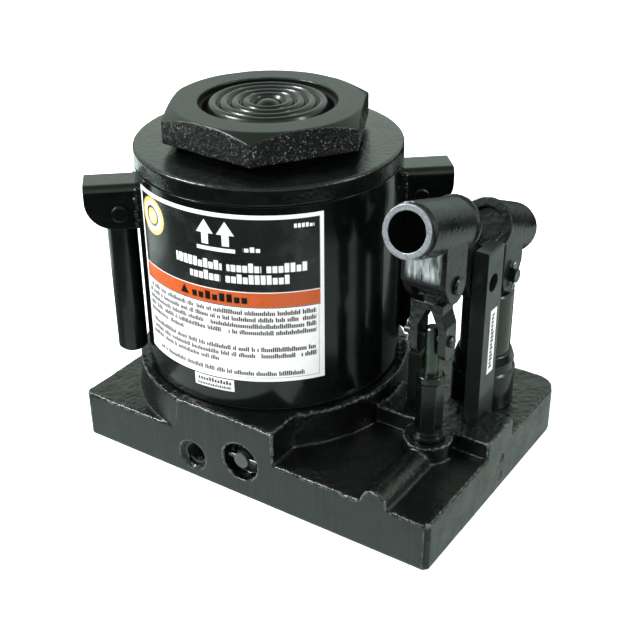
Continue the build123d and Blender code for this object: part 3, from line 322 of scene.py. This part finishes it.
def socket_finish(name, mount):
    """Lever enamel with a bare machined ring where the bore mount opens, and a painted reflection on the
    web of the yoke.
    """
    g = Graph(name)
    mouth = Vector(mount["pos_m"]) + Vector(mount["axis"]) * mount["dims"]["length_mm"] / 2 * MM
    offset = g.node("VectorMath", {"operation": "SUBTRACT"})
    g.put(offset.inputs[0], g.place)
    offset.inputs[1].default_value = mouth
    along = g.dot(offset.outputs["Vector"], mount["axis"])
    lined = g.dot(g.facing, mount["axis"])
    wobble = g.remap(g.noise(140.0, 3.0), 0.3, 0.7, -0.0005, 0.0005)
    depth = g.math("ADD", along, wobble)
    ring = g.math("MULTIPLY", g.remap(depth, -0.0022, -0.0014), g.remap(lined, 0.35, 0.6))
    cloud = g.noise(40.0, 5.0, 0.6)
    tone = g.mix(g.remap(cloud, 0.35, 0.7), (0.004, 0.0055, 0.0052), (0.011, 0.014, 0.013))
    lathe = g.noise(700.0, 3.0, 0.6)
    bright = g.mix(g.remap(lathe, 0.35, 0.7), (0.20, 0.22, 0.24), (0.36, 0.38, 0.40))
    tone = g.mix(ring, tone, bright)
    # painted reflection: a pale, streaky patch on the web of the yoke below the mouth, standing in for the
    # bright floor mirrored there
    x, _, z = g.axes()
    ny = g.axes(g.facing)[1]
    outward = g.math("MULTIPLY", ny, -1.0 if mount["axis"][1] < 0 else 1.0)
    across = g.remap(g.math("ABSOLUTE", g.math("SUBTRACT", x, mouth.x)), *WEB_HALF_WIDTH)
    below = g.remap(z, mouth.z - WEB_FOOT[0], mouth.z - WEB_FOOT[1])
    streaks = g.remap(g.noise(1.0, 5.0, 0.7, g.stretch(500.0, 500.0, 60.0)), 0.36, 0.60)
    faced = g.math("MULTIPLY", g.remap(outward, 0.80, 0.92), across)
    painted_reflection = g.math("MULTIPLY", faced, g.math("MULTIPLY", below, streaks))
    tone = g.mix(g.math("SUBTRACT", painted_reflection, ring, clamp=True), tone, (0.36, 0.41, 0.41))
    rough = g.blend(ring, g.remap(cloud, 0.3, 0.7, 0.24, 0.38), 0.42)
    skin = g.bump(g.noise(300.0, 4.0, 0.6), 0.00012, g.blend(ring, 1.0, 0.15))
    return g.finish(tone, rough, g.math("MULTIPLY", ring, 0.55), skin, coat=0.15, coat_rough=0.15)


def rubber(name, tone=(0.016, 0.016, 0.016)):
    g = Graph(name)
    colour = g.mix(g.remap(g.noise(120.0, 4.0), 0.35, 0.7), tone, tuple(1.9 * c for c in tone))
    rough = g.remap(g.noise(300.0, 3.0), 0.3, 0.7, 0.5, 0.75)
    return g.finish(colour, rough, normal=g.bump(g.noise(900.0), 0.00004))


class Print:
    """Rectangles, discs and rows of dashes on a sheet, in shares of its width and height."""

    def __init__(self, graph, across, up):
        self.g, self.across, self.up = graph, across, up

    def band(self, value, low, high, soft=0.002):
        rise = self.g.remap(value, low - soft, low + soft)
        fall = self.g.remap(value, high + soft, high - soft)
        return self.g.math("MULTIPLY", rise, fall)

    def box(self, left, right, low, high):
        return self.g.math("MULTIPLY", self.band(self.across, left, right), self.band(self.up, low, high))

    def chance(self, cell, seed):
        g = self.g
        pair = g.node("CombineXYZ", None, X=cell, Y=float(seed), Z=0.0)
        made = g.node("TexWhiteNoise", {"noise_dimensions": "2D"})
        g.put(made.inputs["Vector"], pair.outputs[0])
        return made.outputs["Value"]

    def marks(self, spans, middle, height, pitch, seed, slit=0.25, gaps=0.0):
        """A row of narrow upright blocks of two heights, parted by slits and by wider gaps."""
        g = self.g
        cell = g.math("MULTIPLY", self.across, pitch)
        step = g.math("FLOOR", cell)
        share = g.math("SUBTRACT", cell, step)
        solid = g.remap(share, slit - 0.08, slit + 0.08)
        tall = g.math("GREATER_THAN", self.chance(step, seed), 0.60)
        top = g.math("ADD", middle + 0.22 * height, g.math("MULTIPLY", tall, 0.28 * height))
        low = middle - 0.5 * height
        soft = 0.0025
        under = g.remap(g.math("SUBTRACT", top, self.up), -soft, soft)
        over = g.remap(self.up, low - soft, low + soft)
        row = g.math("MULTIPLY", g.math("MULTIPLY", under, over), solid)
        if gaps:
            row = g.math("MULTIPLY", row, g.math("GREATER_THAN", self.chance(step, seed + 0.5), gaps))
        shown = None
        for left, right in spans:
            word = self.band(self.across, left, right)
            shown = word if shown is None else g.math("MAXIMUM", shown, word)
        return g.math("MULTIPLY", row, shown)

    def arrow(self, middle, low, high, half, aspect):
        """An upright arrow: a triangle on a stem."""
        g = self.g
        away = g.math("MULTIPLY", g.math("ABSOLUTE", g.math("SUBTRACT", self.across, middle)), aspect)
        neck = low + 0.45 * (high - low)
        slope = half * aspect / (high - neck)
        reach = g.math("MULTIPLY", g.math("SUBTRACT", high, self.up), slope)
        spread = g.remap(g.math("SUBTRACT", reach, away), -0.003, 0.003)
        head = g.math("MULTIPLY", spread, self.band(self.up, neck, high))
        stem = self.box(middle - 0.4 * half, middle + 0.4 * half, low, neck + 0.01)
        return g.math("MAXIMUM", head, stem)

    def disc(self, x, y, radius, aspect):
        g = self.g
        dx = g.math("MULTIPLY", g.math("SUBTRACT", self.across, x), aspect)
        dy = g.math("SUBTRACT", self.up, y)
        away = g.math("SQRT", g.math("ADD", g.math("MULTIPLY", dx, dx), g.math("MULTIPLY", dy, dy)))
        return g.remap(away, radius + 0.003, radius - 0.003)


def wrapped_print(graph, node):
    """Shares across and up a sheet wrapped on the tube, and its width over its height."""
    x, y, z = graph.axes()
    angle = graph.math("ARCTAN2", y, x)
    corners = [math.atan2(v.co.y, v.co.x) for v in nodes[node].data.vertices]
    start, end = min(corners), max(corners)
    low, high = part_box(node)
    aspect = (end - start) * tube_r / (high.z - low.z)
    return Print(graph, graph.remap(angle, start, end), graph.remap(z, low.z, high.z)), aspect


def label_finish(name):
    """Tube label: white border, dark panel with pale marks, orange band, white panel with dark rows."""
    g = Graph(name)
    p, aspect = wrapped_print(g, "tube_label")
    white, ink, orange = (0.76, 0.77, 0.77), (0.008, 0.009, 0.009), (0.47, 0.088, 0.012)
    grey_ink = (0.045, 0.045, 0.045)
    dark = g.mix(g.remap(g.noise(14.0, 3.0), 0.3, 0.7), (0.009, 0.012, 0.011), (0.016, 0.020, 0.019))
    tone = g.mix(p.box(0.019, 0.981, 0.557, 0.977), white, dark)
    # badge: a plain pale disc with rings
    ochre, sepia = (0.66, 0.50, 0.14), (0.05, 0.05, 0.045)
    for radius, colour in ((0.108, ochre), (0.086, white), (0.060, sepia), (0.046, ochre), (0.022, white)):
        tone = g.mix(p.disc(0.118, 0.865, radius, aspect), tone, colour)
    # two lifting arrows over a plate, a short bar and a row at the corner
    for middle in (0.4535, 0.5535):
        tone = g.mix(p.arrow(middle, 0.815, 0.955, 0.042, aspect), tone, white)
    tone = g.mix(p.box(0.410, 0.597, 0.780, 0.802), tone, white)
    tone = g.mix(p.marks(((0.632, 0.710),), 0.806, 0.030, 38.0, 2), tone, white)
    tone = g.mix(p.marks(((0.862, 0.955),), 0.937, 0.024, 56.0, 5), tone, white)
    heading = ((0.285, 0.530), (0.553, 0.712), (0.735, 0.922))
    tone = g.mix(p.marks(heading, 0.700, 0.054, 37.0, 11, 0.20), tone, white)
    tone = g.mix(p.marks(((0.362, 0.520), (0.545, 0.838)), 0.632, 0.054, 37.0, 3, 0.20), tone, white)
    # orange band with a dark triangle and a dark row on it
    tone = g.mix(p.box(0.019, 0.981, 0.467, 0.552), tone, orange)
    tone = g.mix(p.box(0.019, 0.981, 0.461, 0.467), tone, ink)
    tone = g.mix(p.arrow(0.322, 0.440, 0.540, 0.026, aspect), tone, ink)
    tone = g.mix(p.box(0.290, 0.356, 0.4675, 0.486), tone, orange)
    tone = g.mix(p.box(0.290, 0.356, 0.440, 0.461), tone, white)
    tone = g.mix(p.marks(((0.365, 0.650),), 0.510, 0.050, 28.0, 8, 0.26), tone, ink)
    # fine rows: middle, left end and right end of each
    rows = (
        (0.430, 0.05, 0.96), (0.390, 0.03, 0.96), (0.350, 0.03, 0.96),
        (0.310, 0.03, 0.96), (0.270, 0.03, 0.30), (0.205, 0.05, 0.96),
        (0.165, 0.03, 0.96), (0.125, 0.03, 0.50), (0.052, 0.10, 0.90),
    )
    for seed, (middle, left, right) in enumerate(rows, 20):
        tone = g.mix(p.marks(((left, right),), middle, 0.030, 112.0, seed, 0.22, 0.12), tone, grey_ink)
    # thin frame line inside the white panel
    for left, right, low, high in (
        (0.026, 0.974, 0.0225, 0.0255), (0.026, 0.028, 0.0225, 0.46), (0.972, 0.974, 0.0225, 0.46)
    ):
        tone = g.mix(p.box(left, right, low, high), tone, (0.16, 0.16, 0.16))
    grime = g.remap(g.noise(45.0, 6.0, 0.7), 0.52, 0.8)
    tone = g.mix(g.math("MULTIPLY", grime, 0.14), tone, (0.22, 0.22, 0.19))
    skin = g.bump(g.noise(60.0, 2.0), 0.00008)
    rough = g.remap(g.noise(80.0, 4.0), 0.3, 0.7, 0.22, 0.34)
    return g.finish(tone, rough, normal=skin, coat=0.3, coat_rough=0.12)


def sticker_finish(name, node, rows, wrapped):
    """Small white sticker with rows of dark marks."""
    g = Graph(name)
    if wrapped:
        p, _ = wrapped_print(g, node)
    else:
        low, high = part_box(node)
        x, y, z = g.axes()
        p = Print(g, g.remap(z, low.z, high.z), g.remap(y, low.y, high.y))
    tone = g.mix(g.remap(g.noise(50.0, 4.0), 0.3, 0.8), (0.74, 0.75, 0.74), (0.62, 0.63, 0.61))
    for middle, height, pitch in rows:
        row = p.marks(((0.07, 0.93),), middle, height, pitch, int(middle * 100), 0.3)
        tone = g.mix(row, tone, (0.03, 0.03, 0.03))
    rough = g.remap(g.noise(90.0, 4.0), 0.3, 0.7, 0.3, 0.45)
    return g.finish(tone, rough, normal=g.bump(g.noise(80.0), 0.00005))


# =============================== mesh work =====================================================
def adopt(name, mesh, body, material):
    """A new piece in the row frame, riding on a CAD body."""
    made = bpy.data.objects.new(name, mesh)
    bpy.context.scene.collection.objects.link(made)
    mesh.materials.clear()
    mesh.materials.append(material)
    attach(made, body)
    return made


def as_mesh(name, shape):
    """The bmesh as a mesh; the bmesh is freed."""
    mesh = bpy.data.meshes.new(name)
    shape.to_mesh(mesh)
    shape.free()
    return mesh


def evened(name, mesh, voxel, rounding, solid=None):
    """A fine even mesh of the same form, drawn back onto a solid if one is given, then rounded off."""
    work = bpy.data.objects.new("work_" + name, mesh)
    bpy.context.scene.collection.objects.link(work)
    remesh = work.modifiers.new("even", "REMESH")
    remesh.mode, remesh.voxel_size = "VOXEL", voxel
    if solid:
        fit = work.modifiers.new("fit", "SHRINKWRAP")
        fit.target, fit.wrap_method = solid, "NEAREST_SURFACEPOINT"
    smooth = work.modifiers.new("round", "SMOOTH")
    smooth.factor, smooth.iterations = 0.5, rounding
    bpy.context.view_layer.update()
    graph = bpy.context.evaluated_depsgraph_get()
    made = bpy.data.meshes.new_from_object(work.evaluated_get(graph))
    bpy.data.objects.remove(work)
    return made


def recast(node, name, material, voxel, rounding, skin=None, fitted=False):
    """The CAD solid as a casting: fine even mesh, rounded edges and hollows, then a lumpy skin."""
    source = nodes[node]
    mesh = source.data.copy()
    loose = bmesh.new()
    loose.from_mesh(mesh)
    bmesh.ops.remove_doubles(loose, verts=loose.verts, dist=1e-6)
    loose.to_mesh(mesh)
    loose.free()
    mesh = evened(name, mesh, voxel, rounding, source if fitted else None)
    mesh.name = name
    if skin:
        mesh.update()
        moves = [(v.normal * skin(v.co, v.normal)) for v in mesh.vertices]
        for v, move in zip(mesh.vertices, moves):
            v.co += move
    # the casting's skin never reaches past the solid's own box
    low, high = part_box(node)
    for v in mesh.vertices:
        v.co = [min(max(c, lowest), highest) for c, lowest, highest in zip(v.co, low, high)]
    for polygon in mesh.polygons:
        polygon.use_smooth = True
    piece = adopt(name, mesh, source["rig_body"], material)
    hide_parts(node)
    return piece


def lumps(place, size, octaves=3):
    """Fractal noise around 0, from about -1 to 1."""
    return noise.fractal(place / size, 1.0, 2.0, octaves)


def weld_bead(name, points, outward, radius, ripple, seed, material):
    """A hand-laid bead: overlapping flattened drops along a line, merged by a voxel remesh."""
    draw = random.Random(seed)
    shape = bmesh.new()
    for a, b, out in zip(points, points[1:], outward):
        run = b - a
        count = max(1, round(run.length / ripple))
        for i in range(count):
            here = a + run * (i / count)
            size = radius * draw.uniform(0.82, 1.2)
            shift = out * draw.uniform(-0.15, 0.25) * radius
            turn = run.to_track_quat("Z", "Y").to_matrix().to_4x4()
            form = Matrix.Translation(here + shift) @ turn @ Matrix.Diagonal((size, size, size * 0.8, 1.0))
            bmesh.ops.create_icosphere(shape, subdivisions=2, radius=1.0, matrix=form)
    mesh = evened(name, as_mesh(name, shape), radius * 0.16, 2)
    for polygon in mesh.polygons:
        polygon.use_smooth = True
    return adopt(name, mesh, "frame", material)


def thread(name, mount, crest_depth, pitch, material):
    """Helical ridge on the wall of a bore mount."""
    centre, axis = Vector(mount["pos_m"]), Vector(mount["axis"])
    radius, length = mount["dims"]["r_mm"] * MM, mount["dims"]["length_mm"] * MM
    side = axis.orthogonal().normalized()
    other = axis.cross(side)
    shape = bmesh.new()
    steps = 40
    turns = int(length / pitch) - 1
    profile = ((-0.46, 0.0003), (-0.08, -crest_depth), (0.08, -crest_depth), (0.46, 0.0003))
    rows = []
    for i in range(turns * steps + 1):
        angle = 2 * math.pi * i / steps
        along = -length / 2 + pitch * (0.75 + i / steps)
        out = side * math.cos(angle) + other * math.sin(angle)
        rows.append([
            shape.verts.new(centre + axis * (along + share * pitch) + out * (radius + depth))
            for share, depth in profile
        ])
    for a, b in zip(rows, rows[1:]):
        for i in range(len(profile)):
            j = (i + 1) % len(profile)
            shape.faces.new((a[i], a[j], b[j], b[i]))
    shape.faces.new(rows[0])
    shape.faces.new(reversed(rows[-1]))
    bmesh.ops.recalc_face_normals(shape, faces=shape.faces)
    return adopt(name, as_mesh(name, shape), "frame", material)


# =============================== finishes on the pieces ========================================
gloss_paint = enamel("gloss_enamel", gloss=0.17)
thick_paint = enamel("thick_enamel", gloss=0.22, peel=0.00006, grain=0.00008, grain_scale=260.0, wear_and_edge_highlight=0.35)
satin_paint = enamel("satin_enamel", gloss=0.30, peel=0.00004, wear_and_edge_highlight=0.45, colour=(0.006, 0.0075, 0.007))
cast_paint = enamel("cast_enamel", gloss=0.22, peel=0.00003, grain=0.00016, grain_scale=620.0, dusty=0.12)
oiled_rod = bare_steel("oiled_rod", (0.13, 0.155, 0.135), 0.34, (1.0, 1.0, 0.05))
rear_rod = enamel("dark_rod", gloss=0.16, wear_and_edge_highlight=0.2, colour=(0.010, 0.014, 0.011))
dark_steel = bare_steel("dark_steel", (0.12, 0.125, 0.12), 0.36, (0.05, 1.0, 1.0))
zinc_wire = bare_steel("zinc_wire", (0.42, 0.42, 0.40), 0.36)
polished = bare_steel("polished_steel", (0.62, 0.62, 0.61), 0.16, (1.0, 1.0, 0.05))
bronze = bare_steel("bronze", (0.45, 0.29, 0.13), 0.34, (1.0, 1.0, 0.05))
black_rubber = rubber("black_rubber")
rod_spindle = enamel("spindle_finish", gloss=0.36, wear_and_edge_highlight=0.6, colour=(0.030, 0.036, 0.034))

STICKER_ROWS = ((0.70, 0.34, 14.0), (0.26, 0.26, 22.0))    # middle, height and pitch of each row
by_slot = {
    "plain_steel": enamel("plug_paint", gloss=0.42, wear_and_edge_highlight=0.3, colour=(0.006, 0.008, 0.008)),
    "ball_steel": polished,
    "tube_paint": gloss_paint,
    "gasket": rubber("gasket_rubber", (0.012, 0.013, 0.012)),
    "plug_rubber": rubber("plug_rubber", (0.020, 0.020, 0.019)),
    "seal_rubber": black_rubber,
    "cylinder_steel": polished,
    "ram_steel": polished,
    "guide_brass": bronze,
    "head_paint": enamel("head_enamel", gloss=0.28, wear_and_edge_highlight=0.1),
    "bracket_paint": thick_paint,
    "grip_paint": enamel("grip_enamel", gloss=0.30, peel=0.00004, wear_and_edge_highlight=0.3),
    "rivet_paint": thick_paint,
    "pump_paint": thick_paint,
    "gland_paint": thick_paint,
    "rod_steel": oiled_rod,
    "fork_paint": satin_paint,
    "pin_paint": thick_paint,
    "pin_steel": dark_steel,
    "cotter_steel": zinc_wire,
    "post_paint": enamel("post_enamel", gloss=0.33, peel=0.00003, wear_and_edge_highlight=0.5, colour=(0.009, 0.012, 0.011)),
    "spindle_steel": rod_spindle,
    "label_print": label_finish("label_print"),
    "sticker_print": sticker_finish("sticker_print", "small_label", STICKER_ROWS, True),
    "base_cast": casting("base_casting", base_low, base_high),
    "cover_paint": cast_paint,
    "nut_paint": forged("nut_forging"),
    "socket_paint": socket_finish("front_socket_finish", mounts["front_handle_socket"]),
}
slot_of = {row["node"]: row["material_slot"] for row in frame["record"]["subparts"]}
for name, obj in nodes.items():
    obj.data.materials.clear()
    obj.data.materials.append(by_slot[slot_of[name]])
strip_print = sticker_finish("strip_print", "post_label", ((0.46, 0.50, 17.0),), False)
nodes["post_label"].data.materials[0] = strip_print
nodes["rear_piston"].data.materials[0] = rear_rod

# ---- castings and forgings --------------------------------------------------------------------
BOSS_BORE_R = 0.060    # the base is left smooth inside this radius
NUT_BORE_R = 0.055    # and the nut inside this one


def base_skin(place, normal):
    """Sand-cast lumps on every face but the machined ones and the underside."""
    machined = normal.y < -0.9 or abs(normal.x) > 0.96 or normal.z < -0.5
    inside = math.hypot(place.x, place.y) < BOSS_BORE_R
    if machined or inside:
        return 0.0
    return 0.00026 * lumps(place, 0.0032) + 0.00040 * lumps(place, 0.016, 2) - 0.0003


def cover_skin(place, normal):
    return 0.00012 * lumps(place, 0.0024) - 0.0001 if place.z > tube_high.z else 0.0


def nut_skin(place, normal):
    flank = abs(normal.z) < 0.35 and math.hypot(place.x, place.y) > NUT_BORE_R
    return 0.00012 * lumps(place, 0.0016, 4) - 0.0001 if flank else 0.0


def lever_skin(place, normal):
    return 0.00010 * lumps(place, 0.0030) - 0.0001


GRAIN = MM * 1.0
front_finish = by_slot["socket_paint"]
rear_finish = socket_finish("rear_socket_finish", mounts["rear_handle_socket"])
recast("base", "base_casting", by_slot["base_cast"], 0.95 * GRAIN, 2, base_skin)
recast("cover_plate", "cover_casting", cast_paint, 0.9 * GRAIN, 1, cover_skin)
recast("top_nut", "nut_forging", by_slot["nut_paint"], 0.75 * GRAIN, 1, nut_skin)
for node, name, slot, finish, voxel in (
    ("front_socket", "front_lever_casting", "socket_paint", front_finish, 0.55),
    ("rear_socket", "rear_lever_casting", "socket_paint", rear_finish, 0.55),
    ("front_fork", "front_fork_casting", "fork_paint", satin_paint, 0.5),
):
    recast(node, name, finish, voxel * GRAIN, 3, lever_skin, True)

# ---- ram head: rounded ridges round a dome, in a wide gap inside the nut ------------------------
RIDGES = (13.7, 21.0, 28.3, 35.6)    # radii of the ridges' tops, in millimetres like the rest
RIDGE_HALF = 3.3
RIDGE_H = 3.4
DOME_R = 8.3
RIM_SHOULDER, RIM_FOOT = (39.3, -4.0), (39.5, -9.5)
STEPS = 12
head_profile = [(0.0, 0.0)]
for i in range(1, STEPS + 1):
    share = i / STEPS
    head_profile.append((DOME_R * share, -RIDGE_H * share**2.2))
for middle in RIDGES:
    for i in range(STEPS + 1):
        share = -1 + 2 * i / STEPS
        fall = RIDGE_H * (1 - math.sqrt(max(0.0, 1 - share * share)))
        head_profile.append((middle + RIDGE_HALF * share, -fall))
head_profile += [RIM_SHOULDER, RIM_FOOT]


def lathe(name, profile, top, steps, body, slot, material):
    """Turned piece about the ram axis: radius and height under the top, both in millimetres."""
    shape = bmesh.new()
    rows = []
    for radius, height in profile:
        if radius == 0.0:
            rows.append([shape.verts.new((0.0, 0.0, top + height * MM))])
            continue
        rows.append([
            shape.verts.new((
                radius * MM * math.cos(2 * math.pi * i / steps),
                radius * MM * math.sin(2 * math.pi * i / steps),
                top + height * MM,
            )) for i in range(steps)
        ])
    for a, b in zip(rows, rows[1:]):
        for i in range(steps):
            j = (i + 1) % steps
            corners = (a[0], b[i], b[j]) if len(a) == 1 else (a[i], b[i], b[j], a[j])
            shape.faces.new(corners)
    shape.faces.new(reversed(rows[-1]))
    bmesh.ops.recalc_face_normals(shape, faces=shape.faces)
    mesh = as_mesh(name, shape)
    for polygon in mesh.polygons:
        polygon.use_smooth = len(polygon.vertices) < 5
    return adopt(name, mesh, body, material)


head_body = nodes["ram_head"]["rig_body"]
head = lathe("turned_head", head_profile, head_high.z, 160, head_body, "head_paint", by_slot["head_paint"])
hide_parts("ram_head")

# ---- weld beads where the grip brackets meet the tube -----------------------------------------
BEAD_R, BEAD_STEP = 0.0027, 0.0021
BRACKET_HALF = 0.0135


for side in ("left", "right"):
    low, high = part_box(side + "_bracket")
    hinge = joints[side + "_grip_fold"]
    outward = Vector((hinge["pos_m"][0], hinge["pos_m"][1], 0)).normalized()
    across = Vector((-outward.y, outward.x, 0))
    for k, sign in enumerate((1, -1)):
        half = BRACKET_HALF * sign
        reach = math.sqrt(tube_r**2 - half**2)
        foot = outward * (reach + 0.0006) + across * (half + 0.0012 * sign)
        top = Vector((foot.x, foot.y, high.z - 0.003))
        bottom = Vector((foot.x, foot.y, low.z + 0.002))
        seed = 7 * k + len(side)
        weld_bead(f"{side}_weld_{k}", [top, bottom], [outward], BEAD_R, BEAD_STEP, seed, thick_paint)

thread("port_thread", mounts["hose_port"], 0.0015, 0.0021, dark_steel)

# =============================== studio ========================================================
world = bpy.data.worlds.new("studio")
bpy.context.scene.world = world
world.use_nodes = True
sky = world.node_tree
sky_links, sky_nodes = sky.links, sky.nodes
background = sky_nodes["Background"]
toward = sky_nodes.new("ShaderNodeTexCoord")
toward_axes = sky_nodes.new("ShaderNodeSeparateXYZ")
ramp = sky_nodes.new("ShaderNodeValToRGB")
climb = sky_nodes.new("ShaderNodeMath")
path = sky_nodes.new("ShaderNodeLightPath")
seen = sky_nodes.new("ShaderNodeMix")
plain = sky_nodes.new("ShaderNodeMix")
seen.data_type = plain.data_type = "RGBA"
climb.operation = "MULTIPLY_ADD"
climb.inputs[1].default_value = climb.inputs[2].default_value = 0.5
sky_links.new(toward.outputs["Generated"], toward_axes.inputs[0])
sky_links.new(toward_axes.outputs[2], climb.inputs[0])
sky_links.new(climb.outputs[0], ramp.inputs[0])
# how high a reflection looks, from straight down to straight up, and how bright the room is there
SKY = ((0.0, 0.02), (0.48, 0.03), (0.51, 0.45), (0.62, 0.86), (0.80, 0.92), (0.90, 0.50), (1.0, 0.28))
while len(ramp.color_ramp.elements) < len(SKY):
    ramp.color_ramp.elements.new(0.5)
for stop, (place, level) in zip(ramp.color_ramp.elements, SKY):
    stop.position = place
    stop.color = (0.86 * level, 1.0 * level, 0.90 * level, 1.0)
# reflections see the graded room, everything else an even pale one
plain.inputs[6].default_value = (0.80, 0.80, 0.80, 1.0)
sky_links.new(path.outputs["Is Glossy Ray"], plain.inputs[0])
sky_links.new(ramp.outputs[0], plain.inputs[7])
seen.inputs[7].default_value = (1.0, 1.0, 1.0, 1.0)
sky_links.new(path.outputs["Is Camera Ray"], seen.inputs[0])
sky_links.new(plain.outputs[2], seen.inputs[6])
sky_links.new(seen.outputs[2], background.inputs["Color"])


def plane(name, size, centre, material):
    """A level sheet of the studio."""
    shape = bmesh.new()
    bmesh.ops.create_grid(shape, x_segments=2, y_segments=2, size=0.5)
    mesh = as_mesh(name, shape)
    made = bpy.data.objects.new(name, mesh)
    made.scale = (size[0], size[1], 1.0)
    made.location = centre
    bpy.context.scene.collection.objects.link(made)
    mesh.materials.append(material)
    return made


floor_graph = Graph("pale_floor")
paper = floor_graph.mix(floor_graph.noise(3.0, 2.0), (0.90, 0.90, 0.90), (0.93, 0.93, 0.93))
floor_finish = floor_graph.finish(paper, 0.8, specular=0.1)
shader = floor_graph.tree.nodes["Principled BSDF"]
shader.inputs["Emission Color"].default_value = (1.0, 1.0, 1.0, 1.0)
shader.inputs["Emission Strength"].default_value = 0.55
floor = plane("floor", (60.0, 60.0), (0.0, 0.0, -0.0002), floor_finish)
floor.visible_glossy = False


def glow(name, size, centre, level, tint=(0.86, 1.0, 0.93)):
    """A level sheet that only reflections see."""
    material = bpy.data.materials.new(name)
    material.use_nodes = True
    tree = material.node_tree
    tree.nodes.clear()
    light = tree.nodes.new("ShaderNodeEmission")
    light.inputs["Color"].default_value = (*tint, 1.0)
    light.inputs["Strength"].default_value = level
    output = tree.nodes.new("ShaderNodeOutputMaterial")
    tree.links.new(light.outputs[0], output.inputs["Surface"])
    sheet = plane(name, size, centre, material)
    sheet.visible_camera = sheet.visible_diffuse = sheet.visible_shadow = False


# the pale table near the jack, as its paint mirrors it: ends along x, ends along y, brightness
TABLE_Z = -0.0001
TABLE = (
    ("table_front", (-0.13, 0.178), (-0.26, -0.05), 0.95),
    ("table_left", (-0.33, -0.13), (-0.26, 0.50), 0.20),
    ("table_far_left", (-1.20, -0.33), (-0.26, 0.50), 1.5),
    ("table_right", (0.178, 0.45), (-0.26, 0.60), 0.66),
)
for name, (left, right), (near, far), level in TABLE:
    glow(name, (right - left, far - near), ((left + right) / 2, (near + far) / 2, TABLE_Z), level)


def softbox(name, direction, distance, size, power):
    """A white rectangular light that looks at the middle of the jack."""
    lamp = bpy.data.lights.new(name, "AREA")
    lamp.shape, lamp.size, lamp.size_y = "RECTANGLE", size[0], size[1]
    lamp.energy = power
    made = bpy.data.objects.new(name, lamp)
    bpy.context.scene.collection.objects.link(made)
    target = (cad_box[0] + cad_box[1]) / 2
    made.location = target + Vector(direction).normalized() * distance
    made.rotation_mode = "QUATERNION"
    made.rotation_quaternion = Vector(direction).normalized().to_track_quat("Z", "Y")


softbox("key", (-0.56, -0.49, 0.67), 1.3, (0.40, 0.30), 16.0)
softbox("right_strip", (1.0, 0.25, 0.55), 1.4, (0.25, 0.9), 5.0)

# =============================== camera ========================================================
AIM = Vector((0.0430, 0.0044, 0.0880))
AZIMUTH, ELEVATION, DISTANCE, ROLL = 33.15, 29.24, 0.7866, -0.19
LENS, SENSOR = 64.38, 36.0
SHIFT_X, SHIFT_Y = -0.01373, -0.0016
camera = bpy.data.objects.new("camera", bpy.data.cameras.new("camera"))
bpy.context.scene.collection.objects.link(camera)
around, up = math.radians(AZIMUTH), math.radians(ELEVATION)
back = Vector((math.sin(around) * math.cos(up), -math.cos(around) * math.cos(up), math.sin(up)))
camera.location = AIM + back * DISTANCE
camera.rotation_mode = "QUATERNION"
unrolled = (-back).to_track_quat("-Z", "Y").to_matrix().to_4x4()
camera.rotation_quaternion = (unrolled @ Matrix.Rotation(math.radians(ROLL), 4, "Z")).to_quaternion()
camera.data.lens, camera.data.sensor_width = LENS, SENSOR
camera.data.shift_x, camera.data.shift_y = SHIFT_X, SHIFT_Y
camera.data.clip_start, camera.data.clip_end = 0.01, 100.0
bpy.context.scene.camera = camera
bpy.context.scene.view_settings.view_transform = "Standard"
bpy.context.scene.view_settings.look = "Medium High Contrast"
